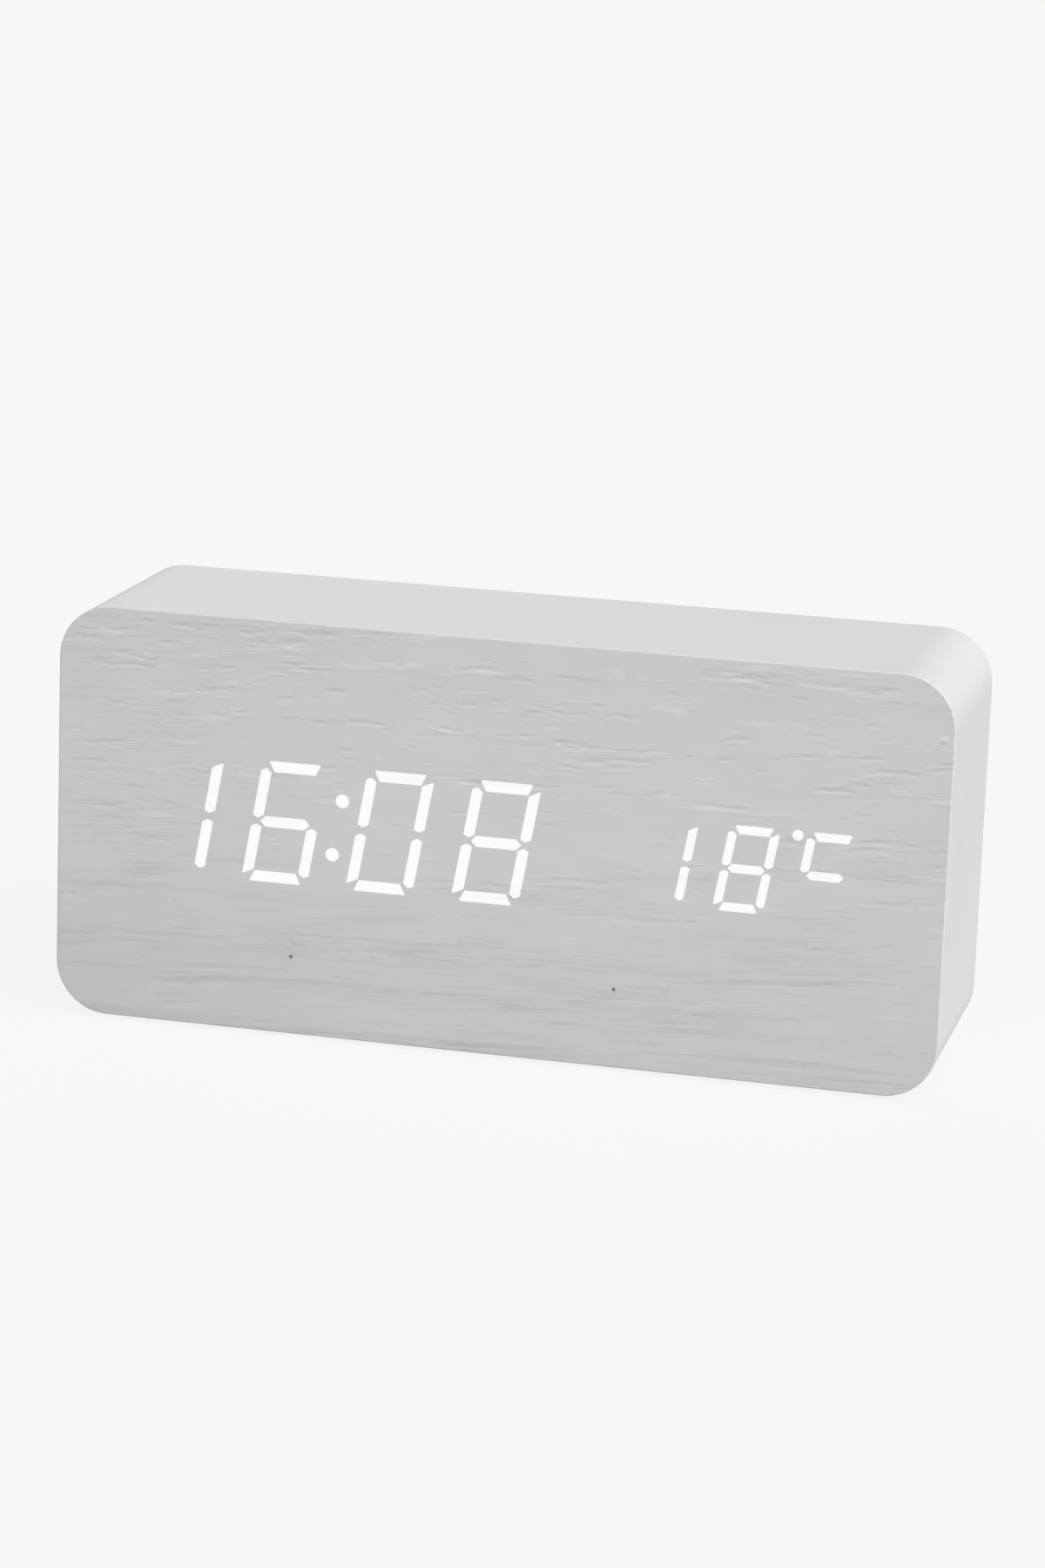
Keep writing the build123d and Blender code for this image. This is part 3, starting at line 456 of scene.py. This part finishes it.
def grain(graph):
    """Pores and streaks along X, each about 0. Pores are dark dashes, partly their own colour and partly
    painted shade, with a painted highlight on the lip beside each, and pale stray dashes; all gather along
    rings.
    """
    sizes = bpy.context.scene.clock_grain
    ring_count = 6
    ring_stretch = 3 * sizes.ring_length
    # The painted highlight is the pore noise moved a little across the grain, so it runs beside each dark pore
    painted_highlight_shift = 0.6 * sizes.pore_width
    # Each noise is cut at its own place, so that none repeats another
    ring_cut, pore_cut, stray_cut = 5.2, 1.7, 8.3
    seam_cut, band_cut, streak_cut = 3.3, 6.2, 4.1
    x, _, z = graph.place
    _, height = sheet_shares(graph)
    upper = graph.rise(height, 0.25, 0.75)
    sway = graph.noise(x / sizes.ring_length, 0.0, z / sizes.ring_width, 1.0) - 0.5
    across = z - sizes.slope * x + sway * sizes.sway
    rings = ring_count * graph.noise(x / ring_stretch, ring_cut, across / sizes.ring_width, 1.0)
    ring_line = 1 - graph.rise(rings.math("PINGPONG", 0.5), 0.0, 0.3)
    gather = 0.08 * ring_line - 0.05

    def dashes(length, width, cut, shift=0.0):
        return graph.noise(x / length, cut, (across + shift) / width, 4.0, 0.6)

    pores = dashes(sizes.pore_length, sizes.pore_width, pore_cut) + gather
    # Painted highlight on the lit lip of each pore
    painted_lip_highlights = dashes(sizes.pore_length, sizes.pore_width, pore_cut, painted_highlight_shift) + gather
    strays = dashes(sizes.pore_length, sizes.pore_width, stray_cut) + gather
    seams = dashes(sizes.streak_length, sizes.streak_width, seam_cut) + 2 * gather
    bands = dashes(sizes.band_length, sizes.band_width, band_cut)
    streaks = dashes(sizes.streak_length, sizes.streak_width, streak_cut) - 0.5
    # Dark pores: their own darker colour together with painted shade in the hollow
    dark = graph.rise(pores, 0.56, 0.69) * (0.7 + 0.3 * upper)
    dark_seams = graph.rise(seams, 0.50, 0.72) * (0.9 - 0.5 * upper)
    dark_bands = graph.rise(bands, 0.50, 0.68) * (1 - 0.6 * upper)
    # pale is the painted highlight on the lip of each pore, in the upper half only
    pale = graph.rise(painted_lip_highlights, 0.56, 0.68) * upper
    pale_strays = graph.rise(strays, 0.55, 0.69) * (0.4 + 0.5 * upper)
    return 0.8 * pale + pale_strays - dark - dark_seams, streaks - dark_bands


def sheet_tone_and_painted_shade(graph):
    """How the tone of the white-washed sheet departs from its mean: painted shade towards the base, along the
    base edge and to the left, random clouds, and marks, which are painted shade round each pinhole, specks and
    an edge chip.
    """
    cloud_length = 14 * MM
    cloud_height = 8 * MM
    cloud_cut = 2.6
    pinhole_shade_reach = 0.55 * MM
    x, _, z = graph.place
    right, height = sheet_shares(graph)
    clouds = graph.noise(x / cloud_length, cloud_cut, z / cloud_height, 3.0) - 0.5
    # Painted shade: the sheet grows darker towards its base
    foot = 1 - graph.rise(height, 0.02, 0.55)
    # Painted shade along the base edge, next to the floor
    shade_at_base_edge = 1 - graph.rise(height + 0.06 * clouds, 0.0, 0.05)
    # Painted shade towards the left end
    left = 1 - graph.rise(right, 0.0, 0.45)
    specks = graph.spot(*LEFT_SPECK) + graph.spot(*RIGHT_SPECK)
    chip = 0.16 * graph.spot(*PALE_CHIP) - 0.12 * graph.spot(*DARK_CHIP)
    # The pinholes lie in front of the two sensors
    holes = [middle_of(sensor) for sensor in ("microphone", "light_sensor")]
    # Painted shade: a soft dark spot round each pinhole
    pinhole_shade = sum(graph.spot(hole.x, hole.z, pinhole_shade_reach, pinhole_shade_reach) for hole in holes)
    # All the painted shade of the sheet: towards the base, to the left and along the base edge
    painted_shade = 0.105 * foot * (1 - 0.3 * right) + 0.04 * left + 0.04 * shade_at_base_edge
    # Marks: painted shade round the pinholes, with real specks and the edge chip
    marks = 0.24 * pinhole_shade + 0.045 * specks - chip
    return 0.08 * clouds - painted_shade - marks


def front_sheet_finish():
    """White-washed wood-look sheet with open pores, painted highlights on the lip of each pore, and painted
    shade towards its base, its left end and round its pinholes.
    """
    colour = bpy.context.scene.clock_colours.front
    relief = bpy.context.scene.clock_grain.relief
    reach = 0.3
    finish = Finish("white_washed_sheet")
    pores, streaks = grain(finish)
    # The tone holds painted highlights and painted shade along with the sheet's own grain and colour
    tone = 0.09 * pores + 0.06 * streaks + sheet_tone_and_painted_shade(finish)
    factor = 0.5 + tone / (2 * reach)
    return finish.surface(
        {
            "Base Color": finish.tint(factor, shaded(colour, 1 - reach), shaded(colour, 1 + reach)),
            "Roughness": 0.52 - 0.06 * pores,
            "Normal": finish.bump(pores, relief),
        }
    )


def side_film_finish():
    """Smooth white film with a faint grain that runs round the case."""
    colour = bpy.context.scene.clock_colours.film
    streak_size = mm(35, 1.1, 35)
    cloud_size = mm(30, 20, 30)
    relief = 10 * MICRON
    finish = Finish("white_film")
    streaks = finish.grains(streak_size, 4.0) - 0.5
    clouds = finish.grains(cloud_size) - 0.5
    tone = 0.5 + 0.5 * streaks + 0.5 * clouds
    return finish.surface(
        {
            "Base Color": finish.tint(tone, shaded(colour, 0.91), shaded(colour, 1.09)),
            "Roughness": 0.46 + 0.1 * streaks,
            "Specular IOR Level": 0.3,
            "Normal": finish.bump(streaks, relief),
        }
    )


def lit_finish():
    """Front sheet where a lamp shines through: white light, with a trace of the grain."""
    colour = bpy.context.scene.clock_colours.digits
    finish = Finish("shining_sheet")
    # The grain brings its painted pore shade and lip highlights into the light as well
    pores, streaks = grain(finish)
    tone = 0.75 + 0.3 * pores + 0.4 * streaks
    return finish.surface(
        {
            "Base Color": finish.tint(tone, opaque(UNLIT_DIM), opaque(UNLIT_PALE)),
            "Roughness": 0.5 - 0.05 * pores,
            "Emission Color": finish.tint(tone, shaded(colour, 0.93), opaque(colour)),
            "Emission Strength": 0.85,
        }
    )


def fibreboard_finish():
    """Routed edge of pressed wood fibre."""
    colour = bpy.context.scene.clock_colours.fibreboard
    fibre_size = mm(0.9, 0.4, 0.9)
    clump_size = mm(6, 4, 6)
    relief = 120 * MICRON
    finish = Finish("pressed_fibre")
    fibres = finish.grains(fibre_size, 5.0, 0.7)
    clumps = finish.grains(clump_size, 3.0)
    tone = 0.65 * fibres + 0.35 * clumps
    return finish.surface(
        {
            "Base Color": finish.tint(tone, shaded(colour, 0.6), shaded(colour, 1.4)),
            "Roughness": 0.82 + 0.12 * fibres,
            "Normal": finish.bump(fibres, relief),
        }
    )


def moulded_finish(name, colour, roughness, grain_size, relief, variation=0.06):
    """Moulded plastic with a fine spark-eroded skin and faint clouding."""
    cloud_size = 18 * MM
    finish = Finish(name)
    skin = finish.grains(grain_size, 3.0, 0.6)
    clouds = finish.grains(cloud_size, 3.0)
    tone = 0.35 * skin + 0.65 * clouds
    return finish.surface(
        {
            "Base Color": finish.tint(tone, shaded(colour, 1 - variation), shaded(colour, 1 + variation)),
            "Roughness": roughness - 0.06 + 0.12 * skin,
            "Normal": finish.bump(skin, relief),
        }
    )


def metal_finish(name, colour, roughness, line_size):
    """Plated metal with fine rubbed lines, whose sizes are given along x, y and z."""
    stain_size = 4 * MM
    relief = 6 * MICRON
    finish = Finish(name)
    lines = finish.grains(line_size, 4.0, 0.6)
    stain = finish.grains(stain_size, 3.0)
    return finish.surface(
        {
            "Base Color": finish.tint(stain, shaded(colour, 0.86), shaded(colour, 1.1)),
            "Metallic": 1.0,
            "Roughness": roughness - 0.08 + 0.16 * lines,
            "Normal": finish.bump(lines, relief),
        }
    )


def turned_screw_finish():
    """Zinc-plated screw heads with turned rings about each screw of the cover."""
    head_radius = 2.6 * MM
    ring_width = 0.12 * MM
    stain_size = 2 * MM
    relief = 12 * MICRON
    _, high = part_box("cover_screws")
    middle = middle_of("cover_screws")
    finish = Finish("turned_zinc")
    x, _, z = finish.place
    # Distances from the axis of the nearest of four screws, which lie the same way about the middle
    off_x = abs(x - middle.x) - (high.x - middle.x - head_radius)
    off_z = abs(z - middle.z) - (high.z - middle.z - head_radius)
    radius = (off_x * off_x + off_z * off_z).math("SQRT")
    rings = finish.noise(radius / ring_width, 0.0, 0.0)
    stain = finish.grains(stain_size, 3.0)
    return finish.surface(
        {
            "Base Color": finish.tint(stain, opaque(ZINC_DIM), opaque(ZINC_PALE)),
            "Metallic": 1.0,
            "Roughness": 0.26 + 0.16 * rings,
            "Normal": finish.bump(rings, relief),
        }
    )


def board_finish():
    """Green board with paler tracks under the resist."""
    colour = bpy.context.scene.clock_colours.board
    bend_size = 12 * MM
    bend_step = 0.125
    bend_reach = 20 * MM
    lane_slope = 0.35
    lane_half = 0.6 * MM
    track_low = 0.22 * MM
    track_high = 0.30 * MM
    weave_size = 0.5 * MM
    relief = 30 * MICRON
    finish = Finish("green_board")
    x, _, z = finish.place
    bend = finish.noise(x / bend_size, 0.0, z / bend_size, 1.0).math("SNAP", bend_step)
    lane = (lane_slope * x + z + bend_reach * bend).math("PINGPONG", lane_half)
    tracks = finish.rise(lane, track_low, track_high)
    weave = finish.grains(weave_size)
    tone = 0.75 * tracks + 0.25 * weave
    return finish.surface(
        {
            "Base Color": finish.tint(tone, shaded(colour, 0.8), shaded(colour, 1.7)),
            "Roughness": 0.38 + 0.12 * weave,
            "Normal": finish.bump(tracks, relief),
        }
    )


def lamp_finish():
    """White lamp chip with a yellow light-making layer on its front."""
    speckle_size = 0.1 * MM
    finish = Finish("lamp_chip")
    _, look_y, _ = finish.facing
    speckle = finish.grains(speckle_size)
    front = finish.rise(-look_y, 0.6, 0.8) * (0.7 + 0.3 * speckle)
    return finish.surface(
        {
            "Base Color": finish.tint(front, opaque(LAMP_WHITE), opaque(LAMP_YELLOW)),
            "Roughness": 0.3 + 0.1 * speckle,
        }
    )


def ribbon_finish():
    """Grey ribbon of wires side by side, with a red wire at one edge."""
    wire_count = 10
    mottle_size = 2 * MM
    relief = 300 * MICRON
    low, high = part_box("link_cable")
    pitch = (high.x - low.x) / wire_count
    finish = Finish("ribbon")
    x, _, _ = finish.place
    wires = (x - low.x).math("PINGPONG", pitch / 2) / (pitch / 2)
    edge_wire = 1 - finish.rise(x, low.x + 0.95 * pitch, low.x + 1.05 * pitch)
    mottle = finish.grains(mottle_size, 3.0)
    grey = finish.tint(mottle, opaque(RIBBON_DIM), opaque(RIBBON_PALE))
    return finish.surface(
        {
            "Base Color": finish.tint(edge_wire, grey, opaque(RIBBON_RED)),
            "Roughness": 0.5 + 0.1 * mottle,
            "Normal": finish.bump(wires, relief),
        }
    )


def cell_finish():
    """Jacketed cells: plain dark jacket, pale ring and cross at the marked end, bright metal ends."""
    colour = bpy.context.scene.clock_colours.jacket
    ring_place = 6.2 * MM
    ring_half = 0.6 * MM
    cross_place = 10.5 * MM
    cross_half = 1.6 * MM
    stroke_half = 0.35 * MM
    edge = 0.1 * MM
    nub_length = 1.2 * MM
    scuff_size = mm(6, 1.2, 1.2)
    low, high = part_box("battery_cells")
    middle = middle_of("battery_cells")
    pitch = high.z - middle.z - (high.y - middle.y)
    finish = Finish("cell_jacket")
    x, _, z = finish.place
    look_x, _, _ = finish.facing
    # Distance from the marked end, which is on the left for all but the middle cell
    middle_row = finish.inside(z, middle.z, pitch / 2, edge)
    from_left = x - low.x
    from_right = high.x - x
    marked = from_left + middle_row * (from_right - from_left)
    row = (z - middle.z + pitch / 2).math("WRAP", pitch, 0.0) - pitch / 2
    ring = finish.inside(marked, ring_place, ring_half, edge)
    stem = finish.inside(marked, cross_place, cross_half, edge) * finish.inside(row, 0.0, stroke_half, edge)
    bar = finish.inside(marked, cross_place, stroke_half, edge) * finish.inside(row, 0.0, cross_half, edge)
    print_mask = ring.larger(stem).larger(bar)
    nub = 1 - finish.rise(marked, nub_length, nub_length + 2 * edge)
    metal = finish.rise(abs(look_x), 0.75, 0.9).larger(nub)
    scuff = finish.grains(scuff_size, 4.0, 0.6)
    jacket = finish.tint(scuff, shaded(colour, 0.8), shaded(colour, 1.3))
    printed = finish.tint(print_mask, jacket, opaque(CELL_PRINT))
    return finish.surface(
        {
            "Base Color": finish.tint(metal, printed, opaque(CELL_STEEL)),
            "Metallic": 0.15 + 0.85 * metal,
            "Roughness": 0.28 + 0.16 * scuff,
        }
    )


def key_finish():
    """Satin keys whose sunk marks are filled with white paint."""
    colour = bpy.context.scene.clock_colours.keys
    mark_depth = 0.3 * MM
    mark_reach = 0.1 * MM
    mark_edge = 0.02 * MM
    skin_size = 0.3 * MM
    rub_size = 2 * MM
    relief = 10 * MICRON
    _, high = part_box("set_button")
    finish = Finish("key_plastic")
    _, y, _ = finish.place
    _, look_y, _ = finish.facing
    mark = finish.inside(y, high.y - mark_depth, mark_reach, mark_edge) * finish.rise(look_y, 0.8, 0.9)
    skin = finish.grains(skin_size, 3.0, 0.6)
    rubbed = finish.grains(rub_size, 3.0)
    plain = finish.tint(0.4 * skin + 0.6 * rubbed, shaded(colour, 0.85), shaded(colour, 1.15))
    return finish.surface(
        {
            "Base Color": finish.tint(mark, plain, opaque(MARK_WHITE)),
            "Roughness": 0.34 + 0.14 * skin,
            "Normal": finish.bump(skin, relief),
        }
    )


def wire_finish(name, colour):
    """Soft wire insulation."""
    return moulded_finish(
        name, colour, roughness=0.42, grain_size=1.2 * MM, relief=20 * MICRON, variation=0.10
    )


class ClockOperator(Operator):
    """Shared settings of the clock's operators"""

    bl_options = {"REGISTER", "UNDO"}


class CLOCK_OT_front_sheet(ClockOperator):
    """Finish the grained front sheet"""

    bl_idname = "clock.front_sheet"
    bl_label = "Front sheet"

    def execute(self, context):
        paint(front_sheet_finish(), "front_veneer")
        return {"FINISHED"}


class CLOCK_OT_side_film(ClockOperator):
    """Finish the film round the sides and the fibreboard case beneath it"""

    bl_idname = "clock.side_film"
    bl_label = "Side film and case"

    def execute(self, context):
        paint(side_film_finish(), "side_wrap")
        paint(fibreboard_finish(), "case_shell")
        return {"FINISHED"}


class CLOCK_OT_lit_digits(ClockOperator):
    """Light the digits that shine through the front sheet"""

    bl_idname = "clock.lit_digits"
    bl_label = "Lit digits"

    def execute(self, context):
        paint(lit_finish(), "lit_time_digits", "lit_colon", "lit_temperature")
        return {"FINISHED"}


class CLOCK_OT_display(ClockOperator):
    """Finish the light shield, its clear fill, the lamps and the display board"""

    bl_idname = "clock.display"
    bl_label = "Display"

    def execute(self, context):
        shield = moulded_finish(
            "shield_white", SHIELD_WHITE, roughness=0.5, grain_size=0.4 * MM, relief=10 * MICRON
        )
        milky = moulded_finish(
            "milky_resin", MILKY_RESIN, roughness=0.25, grain_size=0.8 * MM, relief=4 * MICRON, variation=0.03
        )
        paint(shield, "segment_shield")
        paint(milky, "time_segment_guides", "temperature_segment_guides")
        paint(lamp_finish(), "segment_leds")
        paint(board_finish(), "display_board", "control_board")
        return {"FINISHED"}


class CLOCK_OT_electrics(ClockOperator):
    """Finish the chips, sensors, connectors, ribbon and sounder"""

    bl_idname = "clock.electrics"
    bl_label = "Electric parts"

    def execute(self, context):
        resin = moulded_finish(
            "dark_resin", DARK_RESIN, roughness=0.45, grain_size=0.3 * MM, relief=10 * MICRON, variation=0.2
        )
        can = metal_finish("drawn_can", DRAWN_CAN, roughness=0.3, line_size=mm(1, 0.1, 1))
        nylon = moulded_finish(
            "natural_nylon", NATURAL_NYLON, roughness=0.45, grain_size=0.6 * MM, relief=10 * MICRON
        )
        paint(resin, "light_sensor", "driver_chip", "chip_resistors", "temperature_sensor", "buzzer")
        paint(can, "microphone", "clock_crystal")
        paint(nylon, "display_connector", "control_connector")
        paint(ribbon_finish(), "link_cable")
        return {"FINISHED"}


class CLOCK_OT_rear_cover(ClockOperator):
    """Finish the moulded rear cover, the battery door and the tray"""

    bl_idname = "clock.rear_cover"
    bl_label = "Rear cover and door"

    def execute(self, context):
        colour = context.scene.clock_colours.cover
        cover = moulded_finish(
            "cover_plastic", colour, roughness=0.52, grain_size=0.7 * MM, relief=70 * MICRON
        )
        tray = moulded_finish(
            "tray_plastic", colour, roughness=0.42, grain_size=0.8 * MM, relief=10 * MICRON
        )
        paint(cover, "rear_cover", "battery_door")
        paint(tray, "battery_tray")
        return {"FINISHED"}


class CLOCK_OT_keys(ClockOperator):
    """Finish the three push buttons and their switches"""

    bl_idname = "clock.keys"
    bl_label = "Keys"

    def execute(self, context):
        black = moulded_finish(
            "switch_plastic",
            SWITCH_BLACK,
            roughness=0.4,
            grain_size=0.4 * MM,
            relief=10 * MICRON,
            variation=0.2,
        )
        paint(key_finish(), "set_button", "up_button", "down_button")
        paint(black, "switch_housings", "set_switch_stem", "up_switch_stem", "down_switch_stem")
        return {"FINISHED"}


class CLOCK_OT_power_inlet(ClockOperator):
    """Finish the power inlet and its pin"""

    bl_idname = "clock.power_inlet"
    bl_label = "Power inlet"

    def execute(self, context):
        black = moulded_finish(
            "socket_plastic",
            SOCKET_BLACK,
            roughness=0.36,
            grain_size=0.4 * MM,
            relief=10 * MICRON,
            variation=0.2,
        )
        pin = metal_finish("plated_pin", PLATED_PIN, roughness=0.24, line_size=mm(0.1, 2, 0.1))
        paint(black, "power_socket")
        paint(pin, "power_socket_pin")
        return {"FINISHED"}


class CLOCK_OT_battery(ClockOperator):
    """Finish the cells, their contacts, springs and leads"""

    bl_idname = "clock.battery"
    bl_label = "Battery bay"

    def execute(self, context):
        nickel = metal_finish("nickel_strip", NICKEL, roughness=0.28, line_size=mm(2, 0.1, 2))
        paint(cell_finish(), "battery_cells")
        paint(nickel, "battery_contacts", "battery_leaf_springs")
        paint(wire_finish("red_wire", WIRE_RED), "positive_lead")
        paint(wire_finish("black_wire", WIRE_BLACK), "negative_lead")
        return {"FINISHED"}


class CLOCK_OT_fasteners(ClockOperator):
    """Finish the screws"""

    bl_idname = "clock.fasteners"
    bl_label = "Screws"

    def execute(self, context):
        zinc = metal_finish("zinc_screw", ZINC, roughness=0.34, line_size=mm(0.2, 1, 0.2))
        paint(turned_screw_finish(), "cover_screws")
        paint(zinc, "display_screws", "control_screws", "tray_screws")
        return {"FINISHED"}


class CLOCK_OT_foot_pads(ClockOperator):
    """Finish the soft pads under the case"""

    bl_idname = "clock.foot_pads"
    bl_label = "Foot pads"

    def execute(self, context):
        rubber = moulded_finish(
            "pad_rubber", PAD_GREY, roughness=0.78, grain_size=0.5 * MM, relief=60 * MICRON, variation=0.15
        )
        paint(rubber, "foot_pads")
        return {"FINISHED"}


def seen_directly(graph):
    """1 for rays of the camera, and for those that show the backdrop in gloss or glass."""
    rays = graph.node("ShaderNodeLightPath").socket.node.outputs
    camera = Signal(graph, rays["Is Camera Ray"])
    glossy = Signal(graph, rays["Is Glossy Ray"])
    through = Signal(graph, rays["Is Transmission Ray"])
    return camera.larger(glossy).larger(through)


def lay_floor(studio):
    """Pale floor whose picture is mostly backdrop, so that a faint shadow stays."""
    half = 6.0
    backdrop_share = 0.88
    # The glow makes up for the rest, which the lamps leave darker than the backdrop
    glow_strength = 1.07 * studio.background
    mesh = bpy.data.meshes.new("studio_floor")
    corners = [(-half, -half, 0.0), (half, -half, 0.0), (half, half, 0.0), (-half, half, 0.0)]
    mesh.from_pydata(corners, [], [(0, 1, 2, 3)])
    floor = bpy.data.objects.new("studio_floor", mesh)
    bpy.context.scene.collection.objects.link(floor)
    finish = Finish("pale_floor")
    matt = finish.node("ShaderNodeBsdfDiffuse", sockets={"Color": opaque(FLOOR_GREY)})
    glow = finish.node("ShaderNodeEmission", sockets={"Color": opaque(WHITE), "Strength": glow_strength})
    share = backdrop_share * seen_directly(finish)
    both = finish.node("ShaderNodeMixShader", sockets={0: share, 1: matt, 2: glow})
    finish.node("ShaderNodeOutputMaterial", sockets={"Surface": both})
    mesh.materials.append(finish.material)


def fill_air(studio):
    """World that lights evenly and shows the backdrop's brightness."""
    world = bpy.data.worlds.new("studio_air")
    world.use_nodes = True
    bpy.context.scene.world = world
    graph = Graph(world.node_tree)

    def light(strength):
        return graph.node("ShaderNodeBackground", sockets={"Color": opaque(WHITE), "Strength": strength})

    air = light(studio.air)
    backdrop = light(studio.background)
    share = seen_directly(graph)
    both = graph.node("ShaderNodeMixShader", sockets={0: share, 1: air, 2: backdrop})
    graph.node("ShaderNodeOutputWorld", sockets={"Surface": both})


def hang_lamp(name, towards, strength, spread):
    """Soft lamp that shines from a direction and looks as wide as its spread."""
    light = bpy.data.lights.new(name, "SUN")
    light.energy = strength
    light.angle = spread
    lamp = bpy.data.objects.new(name, light)
    lamp.rotation_mode = "QUATERNION"
    lamp.rotation_quaternion = Vector(towards).to_track_quat("Z", "Y")
    lamp.location = towards
    # Its mirror image would clip the pale top to white from behind
    lamp.visible_glossy = False
    bpy.context.scene.collection.objects.link(lamp)


def set_camera(studio):
    """Camera at the picture's viewing angle, with its small lean."""
    back = Vector(
        (
            math.sin(studio.azimuth) * math.cos(studio.elevation),
            -math.cos(studio.azimuth) * math.cos(studio.elevation),
            math.sin(studio.elevation),
        )
    )
    level = Vector((math.cos(studio.azimuth), math.sin(studio.azimuth), 0.0))
    upward = back.cross(level)
    right = math.cos(studio.roll) * level + math.sin(studio.roll) * upward
    up = math.cos(studio.roll) * upward - math.sin(studio.roll) * level
    lens = bpy.data.cameras.new("photo_camera")
    lens.sensor_width = SENSOR_MM
    lens.lens = studio.focal_px * SENSOR_MM / PHOTO_HEIGHT_PX
    camera = bpy.data.objects.new("photo_camera", lens)
    turn = Matrix((right, up, back)).transposed().to_4x4()
    camera.matrix_world = Matrix.Translation(Vector(studio.aim) + back * studio.distance) @ turn
    bpy.context.scene.collection.objects.link(camera)
    bpy.context.scene.camera = camera


class CLOCK_OT_studio(ClockOperator):
    """Lay the floor, light the air, hang the lamps and set the camera"""

    bl_idname = "clock.studio"
    bl_label = "Studio"

    def execute(self, context):
        studio = context.scene.clock_studio
        context.scene.view_settings.view_transform = "Standard"
        lay_floor(studio)
        fill_air(studio)
        hang_lamp("soft_lamp", studio.sun_from, studio.sun, studio.sun_spread)
        hang_lamp("fill_lamp", studio.fill_from, studio.fill, studio.fill_spread)
        set_camera(studio)
        return {"FINISHED"}


OPERATORS = (
    CLOCK_OT_front_sheet,
    CLOCK_OT_side_film,
    CLOCK_OT_lit_digits,
    CLOCK_OT_display,
    CLOCK_OT_electrics,
    CLOCK_OT_rear_cover,
    CLOCK_OT_keys,
    CLOCK_OT_power_inlet,
    CLOCK_OT_battery,
    CLOCK_OT_fasteners,
    CLOCK_OT_foot_pads,
    CLOCK_OT_studio,
)
GROUPS = {
    "clock_colours": ClockColours,
    "clock_grain": ClockGrain,
    "clock_studio": ClockStudio,
}


class CLOCK_PT_sidebar(Panel):
    """Sizes, colours and steps of the clock"""

    bl_label = "Desk clock"
    bl_idname = "CLOCK_PT_sidebar"
    bl_space_type = "VIEW_3D"
    bl_region_type = "UI"
    bl_category = "Clock"

    def draw(self, context):
        for group_name, group in GROUPS.items():
            box = self.layout.box()
            for field in group.__annotations__:
                box.prop(getattr(context.scene, group_name), field)
        for operator in OPERATORS:
            self.layout.operator(operator.bl_idname)


CLASSES = (*GROUPS.values(), *OPERATORS, CLOCK_PT_sidebar)


def register():
    for made in CLASSES:
        bpy.utils.register_class(made)
    for name, group in GROUPS.items():
        setattr(bpy.types.Scene, name, PointerProperty(type=group))


def unregister():
    for name in GROUPS:
        delattr(bpy.types.Scene, name)
    for made in reversed(CLASSES):
        bpy.utils.unregister_class(made)


def main():
    register()
    for operator in OPERATORS:
        family, step = operator.bl_idname.split(".")
        getattr(getattr(bpy.ops, family), step)()


if __name__ == "__main__":
    main()
